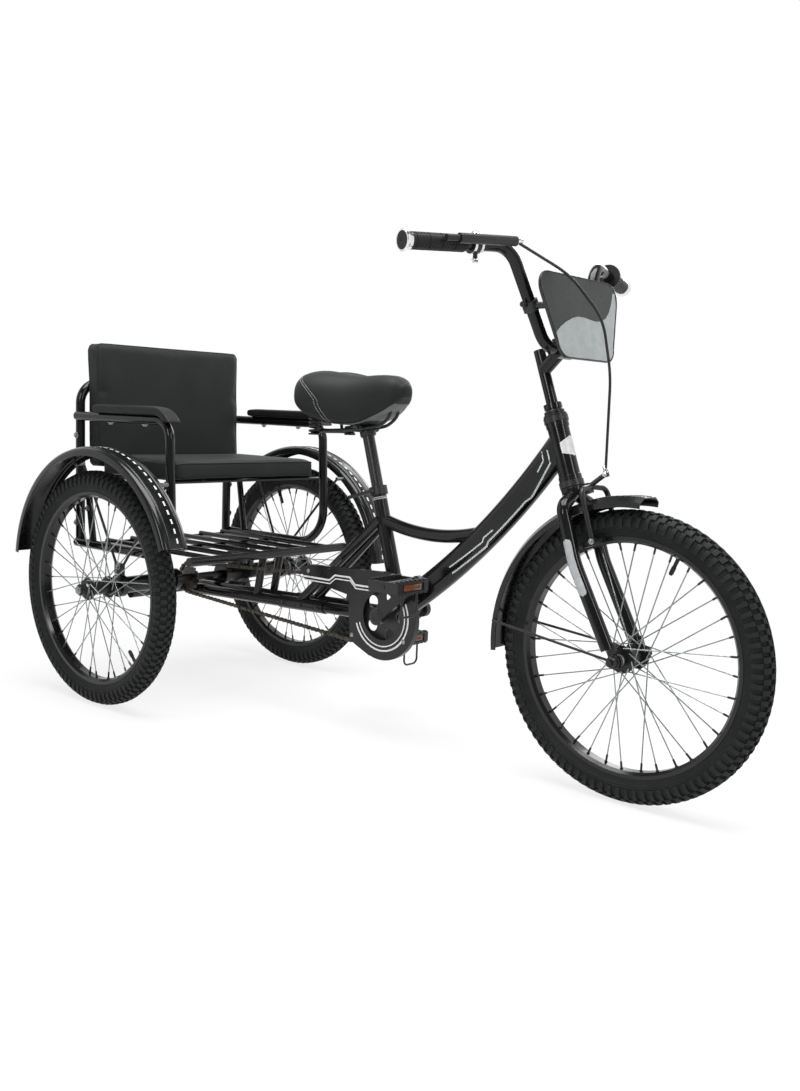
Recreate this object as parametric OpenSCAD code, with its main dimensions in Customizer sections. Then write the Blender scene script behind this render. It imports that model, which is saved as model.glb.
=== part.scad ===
// Adult tricycle with a two-seat passenger bench behind the rider.
// Millimetres; +X forward, +Y to the rider's left, +Z up, ground at Z = 0.

/* [Wheels] */
// Rim bore diameter, where the spokes end
rim_bore_d = 410; // [380:1:430]
// Rim depth from bore to tyre seat
rim_depth = 12; // [8:0.5:20]
// Rim width
rim_w = 30; // [24:1:40]
// Tyre height above its seat on the rim
tyre_h = 48; // [38:1:60]
// Tyre section width
tyre_w = 52; // [40:1:60]
// Distance from the rear axle to the front axle
wheelbase = 1168; // [1000:1:1400]
// Distance between the two rear tyres' middles
track = 618; // [560:1:700]
// Spokes in one wheel
spoke_n = 36; // [20:4:36]
// Spoke diameter
spoke_d = 2.4; // [1.8:0.1:3]
// Hub flange diameter
flange_d = 50; // [40:1:70]
// Distance between the two flanges of a hub
flange_gap = 54; // [40:1:64]

/* [Frame] */
// Steering axis angle from the ground
head_angle = 70.5; // [64:0.5:75]
// Fork offset, axle ahead of the steering axis
fork_offset = 31; // [0:1:50]
// Head tube lower end, above the front axle along the axis
head_rise = 334; // [315:1:380]
// Head tube length
head_len = 112; // [90:1:150]
// Head tube diameter
head_d = 40; // [34:1:50]
// Crank axle behind the front axle
crank_back = 536; // [480:1:620]
// Crank axle height above the wheel axles
crank_rise = 1; // [-20:1:30]
// Seat tube angle from the ground
seat_angle = 73.6; // [66:0.5:76]
// Seat tube length from the crank axle
seat_len = 266; // [240:1:340]
// Seat tube diameter
seat_d = 31; // [30:0.5:40]
// Seat post diameter
post_d = 25.4; // [22:0.2:28]
// Seat post length above the seat tube
post_out = 122; // [60:1:160]
// Down tube height of section
down_h = 54; // [40:1:70]
// Down tube width of section
down_w = 38; // [30:1:39]
// Down tube bow below its straight line
down_bow = 21; // [4:1:30]
// Top tube diameter
top_d = 27; // [22:1:36]
// Top tube dip below its straight line
top_dip = 22; // [8:1:40]
// Height on the seat tube where top tube and seat stays join, from the crank axle
top_join = 200; // [160:1:240]
// Share of the down tube's length, from the crank axle, where the top tube joins
top_share = 0.54; // [0.35:0.01:0.7]
// Stay tube diameter
stay_d = 25; // [18:1:30]
// Sideways place of each stay
stay_y = 26; // [22:1:30]

/* [Steering] */
// Quill stem height above the head tube
stem_out = 139; // [80:1:180]
// Stem clamp ahead of the quill
stem_reach = 50; // [20:1:70]
// Stem clamp height above the quill top
stem_rise = 2; // [0:1:40]
// Handlebar tube diameter
bar_d = 22.2; // [20:0.1:25.4]
// Handlebar width over the grip rings
bar_w = 720; // [600:1:820]
// Handlebar rise from clamp to grips
bar_rise = 166; // [40:1:200]
// Handlebar sweep back at the grip end
bar_back = 86; // [20:1:160]
// Grip length
grip_len = 124; // [90:1:150]
// Grip diameter
grip_d = 29; // [28:1:40]
// Front plate width
plate_w = 262; // [200:1:360]
// Front plate height
plate_h = 151; // [100:1:200]

/* [Drive] */
// Chain pitch
chain_pitch = 12.7; // [12.7:0.1:12.8]
// Chainwheel teeth
wheel_teeth = 36; // [28:2:44]
// Axle sprocket teeth
sprocket_teeth = 18; // [14:1:22]
// Chain line, distance from the middle plane
chain_y = 48; // [40:1:56]
// Crank length
crank_len = 134; // [120:1:180]
// Crank angle shown, above forward
crank_turn = 39.5; // [0:1:360]
// Rear axle shaft diameter
axle_d = 18; // [15:0.5:22]
// Axle housing diameter
housing_d = 38; // [30:1:46]

/* [Bench] */
// Bench cushion depth, front to back
bench_depth = 294; // [240:1:360]
// Bench cushion width
bench_w = 428; // [380:1:460]
// Bench cushion thickness
bench_t = 42; // [30:1:80]
// Bench cushion underside above the rack tubes
bench_rise = 168; // [120:1:220]
// Bench cushion front edge, ahead of the rear axle
bench_x = 160; // [120:1:200]
// Backrest height
back_h = 304; // [200:1:340]
// Backrest thickness
back_t = 40; // [30:1:60]
// Backrest width
back_w = 444; // [400:1:460]
// Distance between the two side hoops' middles
hoop_w = 474; // [440:1:500]
// Side hoop tube diameter
hoop_d = 21; // [18:1:28]
// Armrest tube above the cushion's underside
arm_rise = 133; // [100:1:180]
// Rack tube height above the axle
rack_rise = 80; // [66:1:110]
// Rack front rail, ahead of the rear axle
rack_x = 236; // [200:1:260]
// Lengthwise rods of the rack
rack_rods = 6; // [3:1:9]

/* [Mudguards] */
// Mudguard width
guard_w = 82; // [66:1:100]
// Gap between tyre and mudguard
guard_gap = 32; // [25:1:60]
// Front mudguard gap
front_gap = 21; // [15:1:30]

/* [Hidden] */
$fn = 72;
// running gap between turning pieces
gap = 0.3;
// sheet thickness of the mudguards
sheet = 2;
// height of the bead where a straight run meets a bend
bead = 0.15;
rim_r = rim_bore_d / 2;
seat_r = rim_r + rim_depth;
wheel_r = seat_r + tyre_h;
guard_r = wheel_r + guard_gap;
crank_z = wheel_r + crank_rise;
rack_z = wheel_r + rack_rise;
bench_z = rack_z + bench_rise;
arm_z = bench_z + arm_rise;
// arc of each rear mudguard from front end to back end, about a point ahead of and above the axle
guard_span = [[-1, 20, 173], [1, 4, 128]];
guard_c = [10, 0, wheel_r + 20];
rear_x = guard_c[0] + guard_r * cos(guard_span[0][2]);
mid_x = (wheelbase + wheel_r + rear_x) / 2;
// steering axis: head point is the lower end of the head tube
axis_up = [-cos(head_angle), 0, sin(head_angle)];
axis_fore = [sin(head_angle), 0, cos(head_angle)];
hub_f = [wheelbase, 0, wheel_r];
head_p = hub_f - fork_offset * axis_fore + head_rise * axis_up;
crank_p = [wheelbase - crank_back, 0, crank_z];
seat_up = [-cos(seat_angle), 0, sin(seat_angle)];
seat_top = crank_p + seat_len * seat_up;
seat_join = crank_p + top_join * seat_up;
post_top = seat_top + post_out * seat_up;
shell_d = 45;
shell_len = 68;
// down tube ends on the head tube's axis and on the crank axle
down_top = head_p + 0.64 * head_len * axis_up;
down_low = crank_p + [14, 0, 21];
// point on the down tube's curve, 0 at the crank end
function down_at(t) = down_low + (down_top - down_low) * t
  + 4 * t * (1 - t) * down_bow * unit([down_top[2] - down_low[2], 0, down_low[0] - down_top[0]]);
hoop_y = hoop_w / 2;
bench_back = bench_x - bench_depth;
post_x = bench_back - back_t - 8 - hoop_d / 2;
pitch_r1 = chain_pitch / 2 / sin(180 / wheel_teeth);
pitch_r2 = chain_pitch / 2 / sin(180 / sprocket_teeth);
clamp_p = head_p + (head_len + stem_out) * axis_up + [stem_reach, 0, stem_rise];

function unit(a) = a / norm(a);

// everything is placed from the rear axle, then centred
module on_axle() { translate([-mid_x, 0, 0]) children(); }

// local Z runs up the steering axis from the lower end of the head tube, local X forward
module on_head() { translate(head_p) rotate([0, head_angle - 90, 0]) children(); }

// local Z runs up the seat tube from the crank axle
module on_seat() { translate(crank_p) rotate([0, seat_angle - 90, 0]) children(); }

// round bar between two points
module rod(p, q, r) {
  d = q - p;
  translate(p) rotate([0, acos(d[2] / norm(d)), atan2(d[1], d[0])]) cylinder(h = norm(d), r = r);
}

// cylinder along Y, from y1 to y2
module across(p, y1, y2, r) { translate([p[0], y1, p[2]]) rotate([-90, 0, 0]) cylinder(h = y2 - y1, r = r); }

// round tube through points, with one bend radius for each inner point
module bent_tube(pts, bends, r) {
  n = len(pts);
  u = [for (i = [0 : n - 2]) unit(pts[i + 1] - pts[i])];
  cut = [for (i = [0 : n - 1]) i == 0 || i == n - 1 ? 0 : bends[i - 1] * tan(acos(u[i - 1] * u[i]) / 2)];
  for (i = [0 : n - 2]) rod(pts[i] + u[i] * cut[i], pts[i + 1] - u[i] * cut[i + 1], r);
  for (i = [1 : n - 2]) {
    b = bends[i - 1];
    inward = unit(u[i] - (u[i] * u[i - 1]) * u[i - 1]);
    c = pts[i] - u[i - 1] * cut[i] + inward * b;
    az = cross(-inward, u[i - 1]);
    multmatrix([[-inward[0], u[i - 1][0], az[0], c[0]], [-inward[1], u[i - 1][1], az[1], c[1]],
                [-inward[2], u[i - 1][2], az[2], c[2]], [0, 0, 0, 1]])
      rotate_extrude(angle = acos(u[i - 1] * u[i])) translate([b, 0]) circle(r = r);
    for (e = [pts[i] - u[i - 1] * cut[i], pts[i] + u[i] * cut[i]], k = [e == pts[i] - u[i - 1] * cut[i] ? u[i - 1] : u[i]])
      rod(e - k * 0.6, e + k * 0.6, r + bead);
  }
}

// curved tube in the middle plane from a to b, bowed to the right of that direction
module bow_tube(a, b, bow) {
  d = unit(b - a);
  len = norm(b - a);
  r = (len * len / 4 + bow * bow) / (2 * bow);
  c = (a + b) / 2 + [-d[2], 0, d[0]] * (r - bow);
  translate(c) rotate([90, 0, 0]) rotate([0, 0, atan2(a[2] - c[2], a[0] - c[0])])
    rotate_extrude(angle = 2 * asin(len / 2 / r), $fn = 1440) translate([r, 0]) children();
}

// slot-shaped outline, long along X
module slot(w, h) {
  square([w - h, h], center = true);
  for (s = [-1, 1]) translate([s * (w - h) / 2, 0]) circle(d = h, $fn = 72);
}

// rectangle with round corners
module round_rect(w, h, r) {
  square([w - 2 * r, h], center = true);
  square([w, h - 2 * r], center = true);
  for (x = [-1, 1], y = [-1, 1]) translate([x * (w / 2 - r), y * (h / 2 - r)]) circle(r = r);
}

module down_solid() { bow_tube(down_low, down_top, down_bow) slot(down_h, down_w); }
module head_solid() { on_head() cylinder(h = head_len, d = head_d); }
module seat_solid() { on_seat() cylinder(h = seat_len, d = seat_d); }
module shell_solid() { across(crank_p, -shell_len / 2, shell_len / 2, shell_d / 2); }

steerer_d = 28.6;
module head_tube() {
  color("#111214") on_axle() on_head() difference() {
    union() {
      cylinder(h = head_len, d = head_d);
      for (z = [0, head_len - ring_h]) translate([0, 0, z]) cylinder(h = ring_h, d = ring_d);
    }
    translate([0, 0, -1]) cylinder(h = head_len + 2, d = steerer_d + 3);
  }
}

cup_h = 11;
module headset_cups() {
  color("#202124") on_axle() on_head() for (z = [-cup_h, head_len]) translate([0, 0, z]) difference() {
    cylinder(h = cup_h, d = head_d + 6);
    translate([0, 0, -1]) cylinder(h = cup_h + 2, d = steerer_d + 1);
  }
}

ring_h = 9;
ring_d = head_d + 3;
module down_tube() {
  color("#111214") on_axle() difference() {
    down_solid();
    on_head() {
      cylinder(h = head_len, d = head_d + 0.1);
      for (z = [0, head_len - ring_h]) translate([0, 0, z - 0.1]) cylinder(h = ring_h + 0.2, d = ring_d + 0.2);
      translate([0, -head_d, -head_d]) cube([2 * head_d, 2 * head_d, head_len + 2 * head_d]);
    }
    shell_solid();
    seat_solid();
  }
}

top_end = down_at(top_share);
module top_solid() { bow_tube(seat_join, top_end, top_dip) circle(d = top_d, $fn = 72); }
module top_tube() {
  color("#111214") on_axle() difference() {
    top_solid();
    seat_solid();
    down_solid();
  }
}

module seat_tube() {
  color("#111214") on_axle() difference() {
    seat_solid();
    on_seat() translate([0, 0, 60]) cylinder(h = seat_len, d = post_d + 2 * gap);
    shell_solid();
  }
}

module bottom_bracket() {
  color("#111214") on_axle() difference() {
    shell_solid();
    across(crank_p, -shell_len, shell_len, 11);
  }
}

// rear ends of the stays on the lower cross tube
cross_p = [-58, 0, wheel_r - 31];
stay_end = [crank_p[0] - shell_d / 2 + 5, 0, crank_z - 8];
foot_x = 352;
function stay_z(x) = cross_p[2] + (stay_end[2] - cross_p[2]) * (x - cross_p[0]) / (stay_end[0] - cross_p[0]);
// bolted sleeves: from, to
sleeve_x = [300, 440];
module chain_stay_solid() {
  for (s = [-1, 1]) {
    rod([cross_p[0], s * stay_y, cross_p[2]], [stay_end[0], s * stay_y, stay_end[2]], stay_d / 2);
    rod([sleeve_x[0], s * stay_y, stay_z(sleeve_x[0])], [sleeve_x[1], s * stay_y, stay_z(sleeve_x[1])], stay_d / 2 + 2);
  }
}
module seat_stays() {
  color("#111214") on_axle() difference() {
    for (s = [-1, 1]) rod([seat_join[0], s * 12, seat_join[2]], [foot_x, s * stay_y, stay_z(foot_x)], stay_d / 2 - 2);
    chain_stay_solid();
    seat_solid();
    top_solid();
  }
}

module chain_stays() {
  color("#111214") on_axle() difference() {
    chain_stay_solid();
    shell_solid();
    down_solid();
    seat_solid();
    across(cross_p, -200, 200, stay_d / 2 + 1);
  }
}

// axle housings: y from, y to
housing_y = [[-258, -91], [48, 258]];
bearing_w = 14;
module axle_housing() {
  color("#16171a") on_axle() difference() {
    union() {
      for (h = housing_y) {
        across([0, 0, wheel_r], h[0], h[1], housing_d / 2);
        for (y = [h[0], h[1] - bearing_w]) across([0, 0, wheel_r], y, y + bearing_w, housing_d / 2 + 7);
      }
      across(cross_p, -180, 180, stay_d / 2 + 1);
      for (y = [-150, 150]) rod([cross_p[0], y, cross_p[2]], [0, y, wheel_r], 10);
    }
    across([0, 0, wheel_r], -300, 300, axle_d / 2 + 1);
  }
}

rail_d = 20;
rod_d = 12;
module platform_rack() {
  color("#111214") on_axle() difference() {
    union() {
      across([rack_x, 0, rack_z], -hoop_y - 6, hoop_y + 6, rail_d / 2);
      for (x = [post_x + 40, 20]) across([x, 0, rack_z - 4], -hoop_y, hoop_y, rod_d / 2);
      for (i = [0 : rack_rods - 1]) {
        y = (i + 0.5 - rack_rods / 2) * hoop_w / (rack_rods + 0.6);
        rod([post_x + 40, y, rack_z + 4], [rack_x, y, rack_z + 4], rod_d / 2);
      }
      for (s = [-1, 1]) rod([rack_x - 20, s * stay_y, stay_z(rack_x - 20)], [rack_x, s * stay_y, rack_z], 9);
      for (s = [-1, 1]) rod([0, s * 140, wheel_r], [20, s * 140, rack_z - 4], 9);
    }
    chain_stay_solid();
    hoop_solid();
    across([0, 0, wheel_r], -300, 300, housing_d / 2);
  }
}

hoop_lean = 14;
arm_bend = 42;
post_p = bench_x + 11;
back_y = hoop_y - 9;
back_z = arm_z + 78;
module hoop_solid() {
  for (s = [-1, 1]) bent_tube([[post_x, s * hoop_y, rack_z], [post_p, s * hoop_y, rack_z],
    [post_p - hoop_lean, s * hoop_y, arm_z], [post_x, s * hoop_y, arm_z]], [84, arm_bend], hoop_d / 2);
  bent_tube([[post_x, -back_y, rack_z - hoop_d / 2], [post_x, -back_y, back_z], [post_x, back_y, back_z],
    [post_x, back_y, rack_z - hoop_d / 2]], [48, 48], hoop_d / 2 + 0.4);
}
seat_rail_z = bench_z - 10.4;
strut_x = bench_back - 18;
// thickness of the flat bars under the cushion
flat_t = 4;
module bench_frame() {
  color("#0e0f10") on_axle() union() {
    hoop_solid();
    for (x = [post_x, strut_x]) across([x, 0, seat_rail_z], -hoop_y, hoop_y, 9);
    translate([post_p - 30, -hoop_y, bench_z - gap - flat_t]) cube([24, hoop_w, flat_t]);
    for (s = [-1, 1]) {
      translate([post_x, s * bench_w / 3 - 12, bench_z - 2 * gap - flat_t]) cube([post_p - 20 - post_x, 24, flat_t]);
      rod([strut_x, s * (hoop_y - 1), seat_rail_z], [strut_x + 26, s * (hoop_y - 1), rack_z], 8);
    }
  }
}

module bench_cushion() {
  color("#1c1e20") on_axle() translate([bench_x - bench_depth / 2, 0, bench_z])
    linear_extrude(bench_t) round_rect(bench_depth, bench_w, 18);
}

back_lean = 1.7;
module backrest_cushion() {
  color("#1c1e20") on_axle() translate([bench_back - 1, 0, bench_z + 8]) rotate([0, -back_lean, 0])
    translate([-back_t, 0, back_h / 2]) rotate([90, 0, 90]) linear_extrude(back_t) round_rect(back_w, back_h, 18);
}

pad_t = 17;
module armrest_pads() {
  top = arm_z + hoop_d / 2 + 2 * gap;
  arm_turn = 90 - atan(hoop_lean / (arm_z - rack_z));
  bend_x = post_p - hoop_lean - arm_bend * tan(arm_turn / 2);
  color("#121314") on_axle() for (s = [-1, 1]) translate([0, s * hoop_y + 18, 0]) rotate([90, 0, 0]) linear_extrude(36) {
    translate([bench_back + 34, top]) square([bend_x - bench_back - 34, pad_t]);
    translate([bench_back + 34, top + pad_t / 2]) circle(d = pad_t);
    intersection() {
      translate([bend_x, arm_z - arm_bend]) difference() {
        circle(r = arm_bend + hoop_d / 2 + 2 * gap + pad_t);
        circle(r = arm_bend + hoop_d / 2 + 2 * gap);
      }
      translate([bend_x, arm_z - 4]) square(80);
    }
  }
}

// mudguard section: radius outward, width both ways
module guard_section(r, w) {
  polygon([[r, -w / 2 + 14], [r, w / 2 - 14], [r - 9, w / 2], [r - 19, w / 2], [r - 19, w / 2 - sheet],
    [r - 10, w / 2 - sheet], [r - sheet, w / 2 - 15], [r - sheet, -w / 2 + 15], [r - 10, -w / 2 + sheet],
    [r - 19, -w / 2 + sheet], [r - 19, -w / 2], [r - 9, -w / 2]]);
}
module guard_arc(c, a1, a2, r, w) {
  translate(c) rotate([90, 0, 0]) rotate([0, 0, a1]) rotate_extrude(angle = a2 - a1) guard_section(r, w);
}
module rear_guard(i) {
  color("#0c0d0e") on_axle() guard_arc(guard_c + [0, guard_span[i][0] * track / 2, 0], guard_span[i][1], guard_span[i][2], guard_r, guard_w);
}
module rear_mudguard_right() { rear_guard(0); }
module rear_mudguard_left() { rear_guard(1); }

tab_y = 252;
module mudguard_stays() {
  base = wheel_r + housing_d / 2 + 7 + gap;
  color("#111214") on_axle() for (s = [-1, 1]) {
    for (a = [52, 118]) rod([a < 90 ? 8 : -8, s * tab_y, base + 14],
      guard_c + [(guard_r - 12) * cos(a), s * (track / 2 - guard_w / 2 - 3.4), (guard_r - 12) * sin(a)], 3);
    translate([-16, s * tab_y - 3, base]) cube([32, 6, 26]);
  }
}

guard_y = chain_y + 14;
case_r = pitch_r1 + 19;
// outline of the arm, from the crank axle: along, up
case_pts = [[4, case_r - 0.3], [-212, 82], [-232, 74], [-228, 50], [-98, 32], [-87, 10], [-87, -60], [-72, -70], [-30, 4 - case_r]];
case_t = 3;
lip_w = 12;
lip_t = 2.5;
module case_outline() {
  circle(r = case_r);
  polygon(case_pts);
}
// hollow behind the face: leaves a lip along the top and round the front
module case_hollow() {
  circle(r = case_r - lip_t);
  polygon([[3, case_r - lip_t - 0.4], case_pts[1] - [30, lip_t + 1.6], [-260, -case_r - 20], [-6, -case_r - 20]]);
}
module case_solid() {
  translate([crank_p[0], lip_w - guard_y, crank_p[2]]) rotate([90, 0, 0]) difference() {
    linear_extrude(lip_w) case_outline();
    translate([0, 0, -1]) linear_extrude(lip_w - case_t + 1) case_hollow();
    translate([0, 0, -1]) cylinder(h = lip_w + 2, r = 50);
  }
}
// brackets on the right seat stay and chain stay
clip_x = crank_p[0] - 152;
stay_clip_x = crank_p[0] - 78;
module chain_guard() {
  k = (clip_x - foot_x) / (seat_join[0] - foot_x);
  color("#0a0a0b") on_axle() difference() {
    union() {
      case_solid();
      rod([clip_x, -20, stay_z(foot_x) + (seat_join[2] - stay_z(foot_x)) * k], [clip_x, -guard_y + 1, crank_z + case_r - 14], 4);
      rod([stay_clip_x, -stay_y, stay_z(stay_clip_x)], [stay_clip_x, -guard_y + 1, stay_z(stay_clip_x)], 5);
    }
    chain_stay_solid();
    for (s = [-1, 1]) rod([seat_join[0], s * 12, seat_join[2]], [foot_x, s * stay_y, stay_z(foot_x)], stay_d / 2 - 2);
  }
}

// chain loop: upper run, round the chainwheel, lower run, round the axle sprocket
chain_run = norm([crank_p[0], crank_p[2] - wheel_r]);
chain_tilt = atan2(crank_p[2] - wheel_r, crank_p[0]);
chain_turn = 180 - acos((pitch_r1 - pitch_r2) / chain_run);
chain_span = chain_run * sin(chain_turn);
arc_1 = pitch_r1 * chain_turn * PI / 90;
arc_2 = pitch_r2 * (360 - 2 * chain_turn) * PI / 180;
chain_all = 2 * chain_span + arc_1 + arc_2;
link_n = 2 * round(chain_all / chain_pitch / 2);
// place on the loop: distance from the start of the upper run, and how far outside the pins' line
function round_at(c, r, a) = [c + r * cos(a), r * sin(a)];
function chain_at(d, o) =
  d < chain_span ? round_at(0, pitch_r2 + o, chain_turn) + d * [sin(chain_turn), -cos(chain_turn)]
  : d < chain_span + arc_1 ? round_at(chain_run, pitch_r1 + o, chain_turn - (d - chain_span) / pitch_r1 * 180 / PI)
  : d < 2 * chain_span + arc_1 ? round_at(chain_run, pitch_r1 + o, -chain_turn) - (d - chain_span - arc_1) * [sin(chain_turn), cos(chain_turn)]
  : round_at(0, pitch_r2 + o, -chain_turn - (d - 2 * chain_span - arc_1) / pitch_r2 * 180 / PI);
// half height of a link along its length: share of the pitch, height
link_form = [[0.22, 4], [0.5, 2.7], [0.78, 4]];
link_w = 7;
function chain_edge(side) = [for (i = [0 : link_n - 1], k = link_form) chain_at((i + k[0]) * chain_all / link_n, side * k[1])];
module chain() {
  color("#3a3530") on_axle() translate([0, -chain_y, wheel_r]) rotate([90, 0, 0]) rotate([0, 0, chain_tilt])
    linear_extrude(link_w, center = true) difference() {
      polygon(chain_edge(1));
      polygon(chain_edge(-1));
    }
}

module seat_post() {
  color("#222326") on_axle() on_seat() translate([0, 0, seat_len - 90]) cylinder(h = post_out + 90, d = post_d);
}

module seat_clamp() {
  color("#111214") on_axle() on_seat() difference() {
    union() {
      translate([0, 0, seat_len - 14]) cylinder(h = 18, d = seat_d + 8);
      translate([0, -22, seat_len - 5]) rotate([-90, 0, 0]) cylinder(h = 44, d = 11);
      translate([-66, -26, seat_len - 8]) cube([72, 7, 7]);
    }
    translate([0, 0, seat_len - 20]) cylinder(h = 20, d = seat_d);
    translate([0, 0, seat_len - 20]) cylinder(h = 40, d = post_d + 2 * gap);
  }
}

// saddle: along, half width, height of centre, radius
saddle_balls = [[-74, 60, 50, 52], [-90, 36, 52, 50], [0, 28, 57, 45], [94, 6, 66, 32]];
saddle_p = post_top + [-20, 0, 20];
saddle_low = 3;
module saddle() {
  color("#17191b") on_axle() translate(saddle_p) difference() {
    hull() for (b = saddle_balls, s = [-1, 1]) translate([b[0], s * b[1], b[2]]) sphere(r = b[3], $fn = 36);
    translate([-200, -200, saddle_low - 120]) cube([400, 400, 120]);
  }
}

module saddle_frame() {
  color("#141516") on_axle() difference() {
    union() {
      on_seat() translate([0, 0, seat_len + post_out - 22]) cylinder(h = 34, d = post_d + 9);
      across(post_top, -30, 30, 8);
      for (s = [-1, 1]) {
        bent_tube([saddle_p + [-90, s * 34, saddle_low - 0.4], saddle_p + [-90, s * 34, -16], saddle_p + [0, s * 22, -24],
          saddle_p + [70, s * 12, -4], saddle_p + [96, s * 12, 31.8]], [10, 30, 20], 3.5);
        translate(saddle_p + [-90, s * 60, saddle_low - 40]) cylinder(h = 39.6, r = 13);
      }
      across(saddle_p + [-90, 0, saddle_low - 24], -66, 66, 4);
    }
    on_seat() translate([0, 0, seat_len - 50]) cylinder(h = post_out + 50, d = post_d + 0.2);
  }
}

leg_y = 50;
leg_r = 12.5;
module fork() {
  color("#101113") on_axle() on_head() difference() {
    union() {
      translate([0, 0, -26]) cylinder(h = head_len + cup_h + 40, d = steerer_d);
      translate([0, 0, -30]) cylinder(h = 18, d = 44);
      for (s = [-1, 1]) {
        bent_tube([[0, s * 6, -25], [0, s * leg_y, -47], [-3, s * leg_y, -150], [fork_offset - 10, s * leg_y, -head_rise + 22]],
          [24, 160], leg_r);
        translate([fork_offset, s * leg_y - 3, -head_rise]) rotate([-90, 0, 0]) cylinder(h = 6, r = 13);
        translate([fork_offset - 10, s * leg_y - 3, -head_rise]) cube([17, 6, 32]);
      }
    }
    translate([fork_offset, -80, -head_rise]) rotate([-90, 0, 0]) cylinder(h = 160, d = 10 + 0.2);
    translate([0, 0, head_len - 60]) cylinder(h = 140, d = 22.4);
  }
}

module stem() {
  color("#101113") on_axle() difference() {
    union() {
      on_head() translate([0, 0, head_len - 50]) cylinder(h = stem_out + 50, d = 22);
      on_head() translate([0, 0, head_len + cup_h + 14 + gap]) cylinder(h = 10, d = 34);
      rod(head_p + (head_len + stem_out - 38) * axis_up, clamp_p, 13);
      across(clamp_p, -24, 24, 18);
    }
    across(clamp_p, -60, 60, bar_d / 2);
  }
}

// handlebar, left half: sideways, back from the clamp, up from the clamp
bar_pts = [[0, 0, 0], [58, 0, 0], [144, 26, bar_rise], [bar_w / 2 - 2, bar_back, bar_rise - 15]];
function bar_at(s, q) = clamp_p + [-q[1], s * q[0], q[2]];
module bar_half(s, r) { bent_tube([for (q = bar_pts) bar_at(s, q)], [46, 52], r); }
grip_dir = unit(bar_pts[3] - bar_pts[2]);
module handlebar() {
  color("#0d0e0f") on_axle() bent_tube([for (i = [3 : -1 : 1]) bar_at(1, bar_pts[i]), for (i = [1 : 3]) bar_at(-1, bar_pts[i])],
    [52, 46, 46, 52], bar_d / 2);
}

module grips() {
  color("#161718") on_axle() for (s = [-1, 1]) difference() {
    union() {
      rod(bar_at(s, bar_pts[3] - grip_dir * grip_len), bar_at(s, bar_pts[3] - grip_dir * 12), grip_d / 2);
      if (s > 0) rod(bar_at(s, bar_pts[3] - grip_dir * grip_len), bar_at(s, bar_pts[3] - grip_dir * (grip_len - 5)), grip_d / 2 + 10);
    }
    bar_half(s, bar_d / 2 + 0.05);
  }
}

module grip_rings() {
  color("#c8cacc") on_axle() for (s = [-1, 1]) difference() {
    rod(bar_at(s, bar_pts[3] - grip_dir * 11.9), bar_at(s, bar_pts[3] + grip_dir * 2), grip_d / 2 + 3.5);
    bar_half(s, bar_d / 2 + 0.05);
  }
}

lever_at = bar_pts[3] - grip_dir * (grip_len + 22);
// lever barrel beside the bar: distance along it from the clip
function lever_p(t) = bar_at(-1, lever_at + grip_dir * t) + [20, -22, 4];
module brake_lever() {
  p = bar_at(-1, lever_at);
  color("#151617") on_axle() difference() {
    union() {
      rod(bar_at(-1, lever_at - grip_dir * 10), bar_at(-1, lever_at + grip_dir * 10), bar_d / 2 + 5);
      rod(p, lever_p(-14), 7);
      rod(p + [2, 0, -10], p + [2, 0, -26], 4);
      rod(lever_p(-84), lever_p(36), 8.5);
      rod(lever_p(30), lever_p(62), 5.5);
    }
    bar_half(-1, bar_d / 2 + 0.05);
  }
}

// cable end on the caliper, in the steering axis's own directions
cable_end = [64, 18, -4];
function from_head(q) = head_p + q[0] * axis_fore + [0, q[1], 0] + q[2] * axis_up;
cable_pts = [lever_p(-84.2), clamp_p + [50, -66, 122], clamp_p + [96, -26, 50], clamp_p + [98, 8, -46], from_head(cable_end + [0, 0, 5.4])];
module brake_cable() {
  color("#0b0b0c") on_axle() bent_tube(cable_pts, [120, 120, 200], 2.5);
}

pad_z = seat_r - 5 - head_rise;
module brake_caliper() {
  color("#1a1b1d") on_axle() on_head() {
    translate([22.2, -9, -31]) cube([14, 18, 18]);
    for (s = [-1, 1]) {
      bent_tube([[35, 0, -20], [42, s * 45, -26], [40, s * 45, pad_z + 8]], [16], 5);
      rod([40, s * 45, pad_z + 10], [38, s * 26, pad_z], 4);
      translate([fork_offset - 20, min(s * 20, s * 34), pad_z - 5]) cube([42, 14, 10]);
    }
    rod([32, 0, -20], cable_end, 4.5);
    rod(cable_end - [0, 0, 6], cable_end + [0, 0, 5], 5);
  }
}

front_guard_r = wheel_r + front_gap + sheet;
module front_mudguard() {
  color("#0c0d0e") on_axle() guard_arc(hub_f, 86, 186, front_guard_r, 70);
}

module front_stays() {
  color("#141516") on_axle() for (s = [-1, 1]) {
    rod(hub_f + [-(front_guard_r - 14), s * 38.4, 30], hub_f + [-7, s * 55.8, 0], 2.5);
    difference() {
      across(hub_f, s * 55.8 - 2.5, s * 55.8 + 2.5, 9);
      across(hub_f, -80, 80, 5.1);
    }
  }
}

// plate corners, right half: sideways, up, from the plate's middle, and corner radius
corner_r = 30;
plate_top = plate_w / 2 - corner_r;
plate_low = 0.37 * plate_w - corner_r;
function plate_arc(x, y, a1, a2) = [for (i = [0 : 8]) [x, y] + corner_r * [cos(a1 + (a2 - a1) * i / 8), sin(a1 + (a2 - a1) * i / 8)]];
module plate_outline() {
  y = plate_h / 2 - corner_r;
  t = -atan((plate_top - plate_low) / (2 * y));
  polygon(concat(plate_arc(plate_top, y, t, 90), plate_arc(-plate_top, y, 90, 180 - t), plate_arc(-plate_low, -y, 180 - t, 270), plate_arc(plate_low, -y, 270, 360 + t)));
}
plate_p = clamp_p + [37, 0, 53];
plate_lean = 11.7;
plate_t = 4;
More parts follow.
